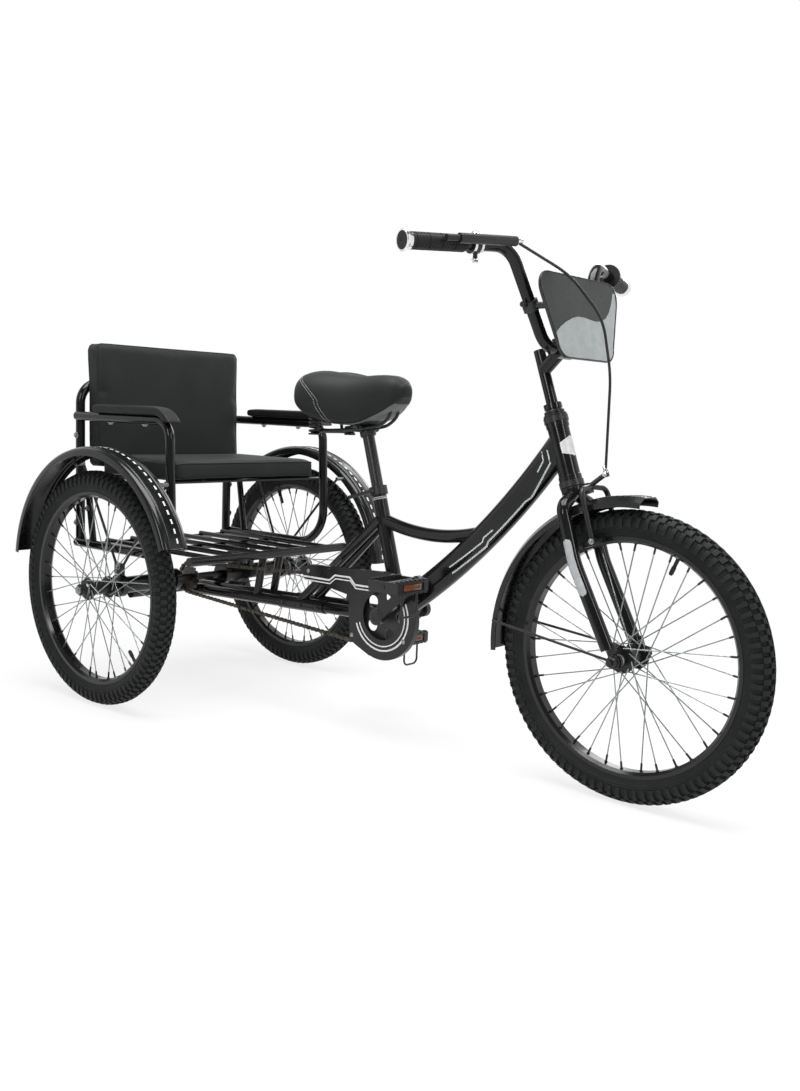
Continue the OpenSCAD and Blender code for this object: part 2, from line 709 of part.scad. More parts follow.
// clips on the two uprights of the handlebar
clip_q = bar_pts[1] + (bar_pts[2] - bar_pts[1]) * 0.42;
clip_u = unit(bar_pts[2] - bar_pts[1]);
module front_plate() {
  color("#141517") on_axle() difference() {
    union() {
      translate(plate_p) rotate([90, 0, 90]) rotate([-plate_lean, 0, 0]) linear_extrude(plate_t) plate_outline();
      for (s = [-1, 1]) {
        c = bar_at(s, clip_q);
        rod(bar_at(s, clip_q - 9 * clip_u), bar_at(s, clip_q + 9 * clip_u), bar_d / 2 + 4);
        rod(c, [plate_p[0] - (c[2] - plate_p[2]) * tan(plate_lean) + plate_t / 2, c[1], c[2]], 6);
        rod(c, c + [0, s * 27, 0], 5);
      }
    }
    bar_half(1, bar_d / 2 + 0.05);
    bar_half(-1, bar_d / 2 + 0.05);
  }
}

module front_axle() {
  color("#9a9da0") on_axle() union() {
    across(hub_f, -74, 74, 5);
    for (y = [-68.5, 58.5]) across(hub_f, y, y + 10, 9);
  }
}

// wheel pieces, centred on the wheel's own middle
flange_t = 3;
// circle of spoke holes in a flange, and how far round a spoke runs from its hole
hole_r = flange_d / 2 - 4;
spoke_lead = 72;
module tyre() {
  rotate([90, 0, 0]) rotate_extrude() difference() {
    union() {
      translate([wheel_r - tyre_w / 2, 0]) circle(d = tyre_w);
      translate([seat_r, -rim_w / 2 + 2]) square([tyre_h - tyre_w / 2, rim_w - 4]);
    }
    translate([0, -tyre_w]) square([seat_r + 0.2, 2 * tyre_w]);
  }
}
module rim() {
  rotate([90, 0, 0]) rotate_extrude() polygon([[rim_r, -rim_w / 2 + 6], [rim_r, rim_w / 2 - 6], [rim_r + 5, rim_w / 2],
    [seat_r, rim_w / 2], [seat_r, -rim_w / 2], [rim_r + 5, -rim_w / 2]]);
}
module spokes() {
  step = 360 / spoke_n;
  for (i = [0 : spoke_n - 1]) {
    side = i % 2 == 0 ? 1 : -1;
    lean = floor(i / 2) % 2 == 0 ? 1 : -1;
    a = i * step;
    h = a + lean * spoke_lead;
    rod([hole_r * cos(h), side * (flange_gap / 2 + lean * (flange_t / 2 + spoke_d / 2 + 1.8)), hole_r * sin(h)],
      [(rim_r - 0.1) * cos(a), side * 3, (rim_r - 0.1) * sin(a)], spoke_d / 2);
  }
}
module hub(half, bore) {
  difference() {
    union() {
      across([0, 0, 0], -flange_gap / 2, flange_gap / 2, 15);
      for (s = [-1, 1]) across([0, 0, 0], s * flange_gap / 2 - flange_t / 2, s * flange_gap / 2 + flange_t / 2, flange_d / 2);
      across([0, 0, 0], -half, half, bore + 5);
    }
    across([0, 0, 0], -half - 1, half + 1, bore);
  }
}

module at_front() { on_axle() translate(hub_f) children(); }
module at_rear(s) { on_axle() translate([0, s * track / 2, wheel_r]) children(); }

module front_tyre() { color("#191a1b") at_front() tyre(); }
module front_rim() { color("#0b0b0c") at_front() rim(); }
module front_spokes() { color("#b9bcbf") at_front() spokes(); }
module front_hub() { color("#141516") at_front() hub(46, 5 + gap); }
module rear_tyre_right() { color("#191a1b") at_rear(-1) tyre(); }
module rear_rim_right() { color("#0b0b0c") at_rear(-1) rim(); }
module rear_spokes_right() { color("#b9bcbf") at_rear(-1) spokes(); }
module rear_hub_right() { color("#141516") at_rear(-1) hub(38, axle_d / 2 + gap); }
module rear_tyre_left() { color("#191a1b") at_rear(1) tyre(); }
module rear_rim_left() { color("#0b0b0c") at_rear(1) rim(); }
module rear_spokes_left() { color("#b9bcbf") at_rear(1) spokes(); }
module rear_hub_left() { color("#141516") at_rear(1) hub(38, axle_d / 2 + 0.02); }

nut_y = track / 2 + 38 + gap;
module rear_axle() {
  color("#8b8e91") on_axle() union() {
    across([0, 0, wheel_r], -nut_y - 14, nut_y + 14, axle_d / 2);
    for (y = [-nut_y - 10, nut_y]) across([0, 0, wheel_r], y, y + 10, axle_d / 2 + 4);
  }
}

// toothed disc standing in the XZ plane, half its thickness each way
module toothed(n, r, half) {
  step = 360 / n;
  rotate([90, 0, 0]) linear_extrude(2 * half, center = true)
    polygon([for (i = [0 : n - 1], k = [[0, r - 4], [0.3, r - 4], [0.48, r], [0.82, r]]) k[1] * [cos((i + k[0]) * step), sin((i + k[0]) * step)]]);
}
module rear_sprocket() {
  color("#4a3a26") on_axle() difference() {
    union() {
      translate([0, -chain_y, wheel_r]) toothed(sprocket_teeth, pitch_r2 - 5, 1.5);
      across([0, 0, wheel_r], -chain_y + 1.5, -chain_y + 8, axle_d / 2 + 6);
    }
    across([0, 0, wheel_r], -100, 100, axle_d / 2 + 0.02);
  }
}

arm_in = guard_y + 6;
arm_out = arm_in + 12;
crank_dir = [cos(crank_turn), 0, sin(crank_turn)];
module crank_arms() {
  color("#141516") on_axle() union() {
    across(crank_p, -arm_out, arm_out, 8.5);
    for (s = [-1, 1]) {
      p = crank_p + s * -crank_len * crank_dir;
      across(crank_p, min(s * arm_in, s * arm_out), max(s * arm_in, s * arm_out), 17);
      across(p, min(s * arm_in, s * arm_out), max(s * arm_in, s * arm_out), 13);
      translate(crank_p + [0, s * (arm_in + arm_out) / 2, 0]) rotate([0, -crank_turn, 0])
        translate([s > 0 ? -crank_len : 0, -5, -11]) cube([crank_len, 10, 22]);
      across(p, min(s * arm_out, s * (arm_out + 100)), max(s * arm_out, s * (arm_out + 100)), 5);
    }
  }
}

module chainwheel() {
  color("#1a1b1d") on_axle() difference() {
    translate(crank_p + [0, -chain_y, 0]) toothed(wheel_teeth, pitch_r1 - 5, 1.5);
    across(crank_p, -100, 100, 8.5 + 0.02);
    for (a = [0 : 72 : 288]) across(crank_p + 42 * [cos(a), 0, sin(a)], -100, 100, 13);
  }
}

pedal_len = 92;
pedal_half = 37;
pedal_h = 11;
module pedal(s) {
  p = crank_p + s * -crank_len * crank_dir;
  bar = 9;
  color("#121314") on_axle() translate(p + [0, s * (arm_out + 7 + pedal_len / 2), 0]) difference() {
    union() {
      across([0, 0, 0], -pedal_len / 2, pedal_len / 2, 10);
      for (y = [-1, 1]) translate([-pedal_half, y * (pedal_len / 2 - 3) - 3, -pedal_h]) cube([2 * pedal_half, 6, 2 * pedal_h]);
      for (x = [-1, 1]) {
        translate([x * (pedal_half - bar / 2) - bar / 2, -pedal_len / 2, -pedal_h]) cube([bar, pedal_len, 2 * pedal_h]);
        for (i = [-3 : 3], z = [-1, 1]) translate([x * (pedal_half - bar / 2) - bar / 2 + 0.5, i * 13 - 3.5, z * pedal_h - 3]) cube([bar - 1, 7, 6]);
      }
      bent_tube([[27, -s * 24, -5], [27, -s * 24, -59], [27, s * 20, -59], [27, s * 20, -5]], [12, 12], 2.2);
    }
    across([0, 0, 0], -pedal_len, pedal_len, 5 + gap);
    for (x = [-1, 1]) translate([x * pedal_half - 2, -33, -8]) cube([4, 66, 16]);
  }
}
module pedal_right() { pedal(-1); }
module pedal_left() { pedal(1); }

head_tube();
headset_cups();
down_tube();
top_tube();
seat_tube();
bottom_bracket();
seat_stays();
chain_stays();
axle_housing();
platform_rack();
bench_frame();
bench_cushion();
backrest_cushion();
armrest_pads();
rear_mudguard_right();
rear_mudguard_left();
mudguard_stays();
chain_guard();
chain();
seat_post();
seat_clamp();
saddle();
saddle_frame();
fork();
stem();
handlebar();
grips();
grip_rings();
brake_lever();
brake_cable();
brake_caliper();
front_mudguard();
front_stays();
front_plate();
front_axle();
front_tyre();
front_rim();
front_spokes();
front_hub();
rear_tyre_right();
rear_rim_right();
rear_spokes_right();
rear_hub_right();
rear_tyre_left();
rear_rim_left();
rear_spokes_left();
rear_hub_left();
rear_axle();
rear_sprocket();
crank_arms();
chainwheel();
pedal_right();
pedal_left();
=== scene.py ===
from math import acos, asin, atan2, copysign, cos, exp, hypot, pi, radians, sin, sqrt

import bmesh
import bpy
from mathutils import Matrix, Vector
from mathutils.bvhtree import BVHTree


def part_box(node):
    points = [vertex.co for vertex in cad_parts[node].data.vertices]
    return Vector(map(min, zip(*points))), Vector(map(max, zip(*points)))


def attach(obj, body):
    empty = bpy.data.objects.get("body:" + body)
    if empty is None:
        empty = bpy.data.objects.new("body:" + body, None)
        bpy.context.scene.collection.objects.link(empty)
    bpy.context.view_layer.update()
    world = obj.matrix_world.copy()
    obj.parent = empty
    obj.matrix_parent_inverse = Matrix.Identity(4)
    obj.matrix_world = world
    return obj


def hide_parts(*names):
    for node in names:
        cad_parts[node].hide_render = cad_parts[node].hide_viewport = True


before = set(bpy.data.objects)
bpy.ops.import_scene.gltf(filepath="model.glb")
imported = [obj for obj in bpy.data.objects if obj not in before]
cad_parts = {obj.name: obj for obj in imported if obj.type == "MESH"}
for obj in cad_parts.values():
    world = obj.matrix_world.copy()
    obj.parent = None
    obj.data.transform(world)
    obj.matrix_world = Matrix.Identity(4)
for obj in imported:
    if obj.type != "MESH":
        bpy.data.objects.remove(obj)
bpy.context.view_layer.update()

# Studio: a white floor and wall in a grey room, one big softbox overhead and weaker ones round about.
# The camera stands low at the front right, roll and all, as the photograph was taken.
# Places on the tricycle are in millimetres ahead of the rear axle, to the left, and above the floor.
rear_low, rear_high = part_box("rear_tyre_right")
axle_x = (rear_low.x + rear_high.x) / 2


def from_axle(x, y, z):
    return Vector((axle_x + x / 1000, y / 1000, z / 1000))


yaw, pitch, roll = radians(40.13), radians(7.055), radians(2.12)
backward = Vector((sin(yaw) * cos(pitch), -cos(yaw) * cos(pitch), sin(pitch)))
level = Vector((cos(yaw), sin(yaw), 0))
upright = backward.cross(level)
view_right = cos(roll) * level + sin(roll) * upright
view_up = cos(roll) * upright - sin(roll) * level
camera_data = bpy.data.cameras.new("studio_camera")
camera_data.sensor_fit = "HORIZONTAL"
camera_data.sensor_width = 36
focal_px, picture_px = 1093.56, 800
camera_data.lens = focal_px * camera_data.sensor_width / picture_px
camera_data.clip_end = 60
camera = bpy.data.objects.new("studio_camera", camera_data)
turn = Matrix((view_right, view_up, backward)).transposed().to_4x4()
camera.matrix_world = Matrix.Translation(from_axle(2082.7, -1731.2, 687.2)) @ turn
bpy.context.scene.collection.objects.link(camera)
bpy.context.scene.camera = camera
bpy.context.scene.view_settings.view_transform = "Standard"


def add_node(tree, kind, inputs, operation=None):
    """New shader node, its inputs set to plain values or linked to other nodes' outputs."""
    made = tree.nodes.new("ShaderNode" + kind)
    if operation:
        made.operation = operation
    for place, value in inputs.items():
        if isinstance(value, bpy.types.NodeSocket):
            tree.links.new(value, made.inputs[place])
        else:
            made.inputs[place].default_value = value
    return made


def white_for_views(tree):
    """1 for rays from the camera, a mirror or glass; 0 for light that lands on a dull surface."""
    path = add_node(tree, "LightPath", {}).outputs
    both = add_node(tree, "Math", {0: path["Is Camera Ray"], 1: path["Is Glossy Ray"]}, "MAXIMUM")
    return add_node(tree, "Math", {0: both.outputs[0], 1: path["Is Transmission Ray"]}, "MAXIMUM").outputs[0]


def in_scene(thing):
    """Puts a new object in the scene."""
    bpy.context.scene.collection.objects.link(thing)
    return thing


world = bpy.data.worlds.new("studio_room")
bpy.context.scene.world = world
world.use_nodes = True
room = world.node_tree.nodes["Background"]
room.inputs["Color"].default_value = (0.96, 0.98, 1, 1)
room.inputs["Strength"].default_value = 0.2

floor_mesh = bpy.data.meshes.new("studio_floor")
floor_mesh.from_pydata([(-9, -9, 0), (9, -9, 0), (9, 9, 0), (-9, 9, 0)], [], [(0, 1, 2, 3)])
floor = in_scene(bpy.data.objects.new("studio_floor", floor_mesh))
# the wall stands in a half round behind the tricycle, seen from the camera; metres
wall_r, wall_low, wall_high = 6.5, -0.2, 6
wall_points, wall_faces = [], []
for k in range(49):
    wall_turn = radians(16 + 228 * k / 48)
    wall_points += [(wall_r * cos(wall_turn), wall_r * sin(wall_turn), z) for z in (wall_low, wall_high)]
    if k:
        wall_faces.append((2 * k - 2, 2 * k, 2 * k + 1, 2 * k - 1))
wall_mesh = bpy.data.meshes.new("studio_wall")
wall_mesh.from_pydata(wall_points, [], wall_faces)
wall = in_scene(bpy.data.objects.new("studio_wall", wall_mesh))
sweep_white = bpy.data.materials.new("sweep_white")
sweep_white.use_nodes = True
sheet_tree = sweep_white.node_tree
sheet_tree.nodes.clear()
sheet_dull = add_node(sheet_tree, "BsdfDiffuse", {"Color": (0.86, 0.86, 0.86, 1)})
sheet_glow = add_node(sheet_tree, "Emission", {"Strength": 1.0})
sheet_place = add_node(sheet_tree, "TexCoord", {})
sheet_far = add_node(sheet_tree, "VectorMath", {0: sheet_place.outputs["Object"]}, "LENGTH")
# the glow's share grows from under the tricycle, where the shadow lies, to the far floor and the wall
sheet_fade = add_node(sheet_tree, "MapRange", {"From Min": 0.9, "From Max": 2.6, "To Min": 0.78, "To Max": 1.0,
                                               "Value": sheet_far.outputs["Value"]})
sheet_share = add_node(sheet_tree, "Math", {0: white_for_views(sheet_tree), 1: sheet_fade.outputs["Result"]},
                       "MULTIPLY")
sheet_mix = add_node(sheet_tree, "MixShader", {0: sheet_share.outputs[0], 1: sheet_dull.outputs[0],
                                               2: sheet_glow.outputs[0]})
add_node(sheet_tree, "OutputMaterial", {"Surface": sheet_mix.outputs[0]})
for stage_mesh, stage_piece in ((floor_mesh, floor), (wall_mesh, wall)):
    stage_mesh.materials.append(sweep_white)

# softboxes: name, place, aimed at, width and height in metres, power in watts
for box_name, at, aim, wide, high, power in (
    ("softbox_top", (0.2, -0.3, 3.4), (0, 0, 0.4), 3.0, 2.2, 170),
    ("softbox_right", (0.9, -3.4, 2.2), (0, 0, 0.5), 0.7, 1.6, 34),
    ("softbox_front", (3.6, -0.2, 2.0), (0.3, 0, 0.5), 0.6, 1.6, 24),
    ("softbox_left", (-0.8, 3.2, 2.0), (0, 0, 0.4), 1.6, 1.6, 36),
):
    lamp_data = bpy.data.lights.new(box_name, "AREA")
    lamp_data.shape = "RECTANGLE"
    lamp_data.size, lamp_data.size_y = wide, high
    lamp_data.energy = power
    lamp = in_scene(bpy.data.objects.new(box_name, lamp_data))
    lamp.location = at
    lamp.rotation_euler = (Vector(aim) - Vector(at)).to_track_quat("-Z", "Y").to_euler()


# Main frame: welded steel tubes, one deep oval down tube, a dipping top tube and twin stays,
# all sprayed gloss black after welding. The bench frame and the load rack take the same paint.
# The colour drifts a little, the lacquer has a fine orange peel, and edges are rubbed thin.
def spotted(tree, scale, detail=3.0, stretch=None):
    """Noise in the object's own space, so that a pattern stays on the piece."""
    place = add_node(tree, "TexCoord", {}).outputs["Object"]
    if stretch:
        place = add_node(tree, "Mapping", {"Scale": stretch, "Vector": place}).outputs["Vector"]
    return add_node(tree, "TexNoise", {"Scale": scale, "Detail": detail, "Vector": place}).outputs["Fac"]


def ranged(tree, source, low, high, start=0.3, end=0.7):
    """A value brought from one range to another, and held at its ends."""
    return add_node(tree, "MapRange", {"From Min": start, "From Max": end, "To Min": low, "To Max": high,
                                       "Value": source}).outputs["Result"]


def between(tree, share, one, two):
    """Colour that drifts from one to two where share goes from 0 to 1."""
    mix = tree.nodes.new("ShaderNodeMix")
    mix.data_type = "RGBA"
    tree.links.new(share, mix.inputs["Factor"])
    for socket, colour in ((6, one), (7, two)):
        if isinstance(colour, tuple):
            mix.inputs[socket].default_value = (*colour, 1)
        else:
            tree.links.new(colour, mix.inputs[socket])
    return mix.outputs[2]


def raised(tree, shader, height, strength, depth):
    """Fine relief on a finish."""
    bump = add_node(tree, "Bump", {"Strength": strength, "Distance": depth, "Height": height})
    tree.links.new(bump.outputs["Normal"], shader.inputs["Normal"])


def start_finish(name, specular=0.5, metallic=0.0):
    """New material, with its node tree and its shader."""
    material = bpy.data.materials.new(name)
    material.use_nodes = True
    tree = material.node_tree
    shader = tree.nodes["Principled BSDF"]
    shader.inputs["Specular IOR Level"].default_value = specular
    shader.inputs["Metallic"].default_value = metallic
    return material, tree, shader


def sprayed_paint(name, colour, worn, rough, peel, specular):
    """Paint over steel: drifting colour, thin at the edges, with the sprayer's fine orange peel."""
    material, tree, shader = start_finish(name, specular)
    drift = ranged(tree, spotted(tree, 9, 4), 0, 1)
    lighter = tuple(min(1, c * 1.7 + 0.002) for c in colour)
    shape = tree.nodes.new("ShaderNodeNewGeometry")
    edge = ranged(tree, shape.outputs["Pointiness"], 0, 0.35, 0.53, 0.6)
    tree.links.new(between(tree, edge, between(tree, drift, colour, lighter), worn), shader.inputs["Base Color"])
    tree.links.new(ranged(tree, spotted(tree, 38, 5), rough[0], rough[1]), shader.inputs["Roughness"])
    raised(tree, shader, spotted(tree, peel, 2), 0.06, 0.0004)
    return material


tube_paint = sprayed_paint("tube_paint", (0.0032, 0.0033, 0.0036), (0.018, 0.018, 0.019), (0.1, 0.2), 520, 0.34)


def dress(node, material):
    """Gives a CAD node its finish."""
    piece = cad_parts[node]
    if not piece.material_slots:
        piece.data.materials.append(material)
    for place in piece.material_slots:
        place.link = "OBJECT"
        place.material = material


for tube in ("head_tube", "down_tube", "top_tube", "seat_tube", "bottom_bracket", "seat_stays", "chain_stays",
             "axle_housing", "platform_rack", "bench_frame"):
    dress(tube, tube_paint)


def add_piece(name, shell, material, body, sharp=38):
    """New piece from a gathered shell, riding on one body, smooth but for its sharp edges."""
    mesh = bpy.data.meshes.new(name)
    mesh.from_pydata([tuple(p) for p in shell.points], [], shell.faces)
    mesh.update()
    tidy = bmesh.new()
    tidy.from_mesh(mesh)
    bmesh.ops.recalc_face_normals(tidy, faces=tidy.faces)
    tidy.to_mesh(mesh)
    tidy.free()
    mesh.polygons.foreach_set("use_smooth", [True] * len(mesh.polygons))
    mesh.set_sharp_from_angle(angle=radians(sharp))
    mesh.materials.append(material)
    piece = in_scene(bpy.data.objects.new(name, mesh))
    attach(piece, body)
    return piece


class Shell:
    """Points and faces of one piece, gathered from several formed bits."""

    def __init__(self):
        self.points, self.faces = [], []

    def rings(self, rings, caps=True, loop=False):
        """Skin over rings of equal count; loop joins the last ring to the first."""
        base, count = len(self.points), len(rings[0])
        for ring in rings:
            self.points.extend(ring)
        for i in range(len(rings) if loop else len(rings) - 1):
            a, b = base + i * count, base + (i + 1) % len(rings) * count
            for k in range(count):
                m = (k + 1) % count
                self.faces.append((a + k, a + m, b + m, b + k))
        if caps and not loop:
            self.faces.append(tuple(range(base, base + count)))
            self.faces.append(tuple(range(base + (len(rings) - 1) * count, base + len(rings) * count)))

    def turned(self, start, axis, profile, sides=32, caps=True):
        """Turned on a lathe: profile rows are distance along the axis, radius, both in millimetres."""
        axis = Vector(axis).normalized()
        one = axis.orthogonal().normalized()
        two = axis.cross(one)
        self.rings([[start + axis * (d / 1000) + (one * cos(a) + two * sin(a)) * (r / 1000)
                     for a in (2 * pi * k / sides for k in range(sides))] for d, r in profile], caps)

    def wire(self, path, radius, sides=10, caps=True, loop=False):
        """Round wire along a path, its radius in millimetres."""
        count = len(path)
        side = None
        rings = []
        for i, p in enumerate(path):
            before = path[i - 1] if i or loop else p
            after = path[(i + 1) % count] if i < count - 1 or loop else p
            run = (after - before).normalized()
            side = run.orthogonal().normalized() if side is None else (side - run * side.dot(run)).normalized()
            two = run.cross(side)
            rings.append([p + (side * cos(a) + two * sin(a)) * (radius / 1000)
                          for a in (2 * pi * k / sides for k in range(sides))])
        self.rings(rings, caps, loop)

    def bolt(self, at, out, across=13, washer=True):
        """Hexagon bolt head on its washer, at a point, standing outward."""
        out = Vector(out).normalized()
        if washer:
            self.turned(at, out, [(-0.6, across * 0.78), (0.9, across * 0.78), (1.2, across * 0.72)], 24)
        self.turned(at, out, [(0.4, across / 2), (across * 0.42, across / 2), (across * 0.5, across * 0.42)], 6)
        self.turned(at, out, [(across * 0.45, across * 0.3), (across * 0.56, across * 0.26)], 16)


# Joint welds: a bead of filler metal round each tube end, laid by hand before painting,
# so it shows as a row of small ripples where one tube meets the next.
crank_x, crank_z = 632, 266
crank_at = from_axle(crank_x, 0, crank_z)
head_at = from_axle(1027.287, 0, 569.494)
head_angle, seat_angle = radians(70.5), radians(73.6)
axis_up = Vector((-cos(head_angle), 0, sin(head_angle)))
axis_fore = Vector((sin(head_angle), 0, cos(head_angle)))
seat_up = Vector((-cos(seat_angle), 0, sin(seat_angle)))
welds = Shell()


def weld_round(centre, axis, radius, tall=1.6, turns=48):
    """Rippled bead round a tube's end."""
    one = axis.orthogonal().normalized()
    two = axis.cross(one)
    path = []
    for k in range(turns):
        a = 2 * pi * k / turns
        ripple = 0.25 if k % 2 else -0.15
        outward = one * cos(a) + two * sin(a)
        path.append(centre + outward * ((radius + ripple) / 1000) + axis * (ripple / 1500))
    welds.wire(path, tall, 8, loop=True)


for along, size in ((9.5, 20.3), (102.5, 20.3)):
    weld_round(head_at + axis_up * (along / 1000), axis_up, size, 1.0)
weld_round(crank_at + seat_up * 0.0228, seat_up, 15.7)
for y in (-150, 150):
    weld_round(from_axle(-19, y, 254.8), Vector((58, 0, 31)).normalized(), 10.4)
add_piece("frame_welds", welds, tube_paint, "frame")


# Down tube lining: thin white pinstripes cut from film and clear-coated over, stepping along the
# tube's side in two lines that never meet. They follow the oval section round its edge.
def mottled(name, specular, metallic, colour, rough, grain):
    """Finish whose colour, roughness and grain each follow a noise: its scale and detail, then the range."""
    material, tree, shader = start_finish(name, specular, metallic)
    spots, one, two = colour
    tree.links.new(between(tree, ranged(tree, spotted(tree, *spots), 0, 1), one, two), shader.inputs["Base Color"])
    spots, low, high = rough
    tree.links.new(ranged(tree, spotted(tree, *spots), low, high), shader.inputs["Roughness"])
    spots, strength, depth = grain
    raised(tree, shader, spotted(tree, *spots), strength, depth)
    return material


def film(name, colour, rough):
    """Printed film: near-flat colour with faint mottling and a slight sheen change."""
    darker = tuple(c * 0.82 for c in colour)
    return mottled(name, 0.5, 0.0, colour=((60, 4), darker, colour),
                   rough=((150, 3), rough * 0.8, rough * 1.25), grain=((900, 2), 0.04, 0.0002))


lining_white = film("lining_white", (0.58, 0.61, 0.61), 0.32)
down_low, down_high = Vector((646, 287)), Vector((1003.36, 637.06))
down_bow, down_flat, down_half = 21, 8, 19
chord = down_high - down_low
chord_run = chord.normalized()
down_r = (chord.length_squared / 4 + down_bow ** 2) / (2 * down_bow)
down_hub = (down_low + down_high) / 2 + Vector((-chord_run.y, chord_run.x)) * (down_r - down_bow)
down_from = atan2(down_low.y - down_hub.y, down_low.x - down_hub.x)
down_span = 2 * asin(chord.length / 2 / down_r)


def on_down_tube(t, h, side, proud=0.25):
    """Point on the tube's skin: share of its length, millimetres across its side, and which side."""
    a = down_from + down_span * t
    out = max(0.0, abs(h) - down_flat)
    y = sqrt(max(0.0, down_half ** 2 - out ** 2))
    lift = (out / down_half) * proud * copysign(1, h)
    r = down_r + h + lift
    return from_axle(down_hub.x + r * cos(a), side * (y + proud * y / down_half), down_hub.y + r * sin(a))


lining = Shell()
# lines along the tube: rows are share of length, millimetres below the middle of the side
lining_rows = (
    ((0.957, -8), (0.929, 12.8), (0.80, 21.4), (0.774, 22.4),
     (0.749, 19.6), (0.52, 18.1), (0.499, 21.6), (0.303, 15.1)),
    ((0.936, -15.5), (0.917, -1.3), (0.868, 3.4)),
    ((0.569, 9.5), (0.517, 6.8), (0.501, 11.2), (0.309, 2.0)),
)
line_w = 1.4
for side in (-1, 1):
    for rows in lining_rows:
        fine = []
        for (t1, h1), (t2, h2) in zip(rows, rows[1:]):
            steps = max(2, int(abs(t2 - t1) * 90))
            fine += [(t1 + (t2 - t1) * k / steps, h1 + (h2 - h1) * k / steps) for k in range(steps)]
        fine.append(rows[-1])
        strip = []
        for i, (t, h) in enumerate(fine):
            a, b = fine[max(0, i - 1)], fine[min(len(fine) - 1, i + 1)]
            run = Vector(((b[0] - a[0]) * down_r * down_span, b[1] - a[1])).normalized()
            across = Vector((-run.y, run.x)) * line_w
            strip.append([on_down_tube(t + s * across.x / (down_r * down_span), h + s * across.y, side, p)
                          for s, p in ((-1, -0.1), (-1, 0.25), (1, 0.25), (1, -0.1))])
        lining.rings(strip)
add_piece("down_tube_lining", lining, lining_white, "frame")

# Head badge: a blank six-sided label in white film, cut to a point above and below in the middle,
# wrapped round the front of the head tube and stuck down.
badge = Shell()
badge_white = film("badge_white", (0.74, 0.74, 0.73), 0.28)
rows = []
for k in range(29):
    turn_at = radians(-70 + 140 * k / 28)
    slope = 1 - abs(turn_at) / radians(70)
    low, high = 51 - 8 * slope, 71 + 11 * slope
    ring = []
    for r, z in ((19.8, low), (20.35, low + 0.3), (20.35, high - 0.3), (19.8, high)):
        sideways = Vector((0, r * sin(turn_at) / 1000, 0))
        ring.append(head_at + axis_fore * (r * cos(turn_at) / 1000) + sideways + axis_up * (z / 1000))
    rows.append(ring)
badge.rings(rows)
add_piece("head_badge", badge, badge_white, "frame")

# Headset: steel cups pressed into the head tube's ends, black-plated, with a turned locknut on top
# and a crown race below, both turning with the fork.
satin_steel = sprayed_paint("satin_steel", (0.006, 0.006, 0.0064), (0.04, 0.04, 0.04), (0.28, 0.42), 800, 0.4)
dress("headset_cups", satin_steel)
headset = Shell()
headset.turned(head_at, axis_up, [(123.1, 21), (125, 21.6), (127, 21.6), (128.5, 19), (133, 19), (134, 18.2)], 40)
headset.turned(head_at, axis_up, [(-11.2, 21.5), (-12.6, 22.6), (-14.5, 22.6), (-16, 21)], 40)
add_piece("headset_locknuts", headset, satin_steel, "steering")

# Frame bolts: hexagon heads on washers. Satin black ones hold the sleeve joints of the stays, and zinc
# ones the rear hoop's posts, the armrest pads and the mudguard tabs.
zinc = mottled("zinc_plate", 0.5, 1.0, colour=((90, 5), (0.24, 0.25, 0.26), (0.4, 0.4, 0.39)),
               rough=((240, 4), 0.24, 0.42), grain=((700, 3), 0.08, 0.0003))
sleeve_bolts, frame_bolts = Shell(), Shell()
for x in (318, 372, 424):
    for s in (-1, 1):
        z = 234 + 24 * (x + 58) / 672.5
        sleeve_bolts.bolt(from_axle(x, s * 40.6, z), (0, s, 0), 8)
add_piece("sleeve_bolts", sleeve_bolts, satin_steel, "frame")
for s in (-1, 1):
    for z in (392, 470, 600):
        frame_bolts.bolt(from_axle(-192.5, s * 239.3, z), (0, s, 0), 10)
    frame_bolts.bolt(from_axle(-139, s * 244.6, 430), (0, s, 0.1), 9)
    for x in (-58, 70):
        frame_bolts.bolt(from_axle(x, s * 237, 634.6), (0, 0, -1), 9)
    frame_bolts.bolt(from_axle(0, s * 255.6, 310), (0, s, 0), 10)
add_piece("frame_bolts", frame_bolts, zinc, "frame")


# Bench seat: a foam slab on a board, wrapped in matte black vinyl with a stitched edge all round.
# The backrest is the same, bolted to the rear hoop. Both are stuffed, so the panels crown a little.
def coated_vinyl(name, colour, grain):
    """Vinyl cloth: pressed leather grain, soft sheen, and paler rubbed patches."""
    material, tree, shader = start_finish(name, 0.3)
    place = add_node(tree, "TexCoord", {}).outputs["Object"]
    cells = add_node(tree, "TexVoronoi", {"Scale": grain, "Vector": place})
    patches = ranged(tree, spotted(tree, 11, 5), 0, 1, 0.35, 0.7)
    paler = tuple(c * 1.45 + 0.0012 for c in colour)
    tree.links.new(between(tree, patches, colour, paler), shader.inputs["Base Color"])
    tree.links.new(ranged(tree, cells.outputs["Distance"], 0.5, 0.66, 0.1, 0.6), shader.inputs["Roughness"])
    shader.inputs["Sheen Weight"].default_value = 0.06
    shader.inputs["Sheen Roughness"].default_value = 0.4
    raised(tree, shader, cells.outputs["Distance"], 0.22, 0.0005)
    return material


bench_vinyl = coated_vinyl("bench_vinyl", (0.0076, 0.0088, 0.0088), 820)


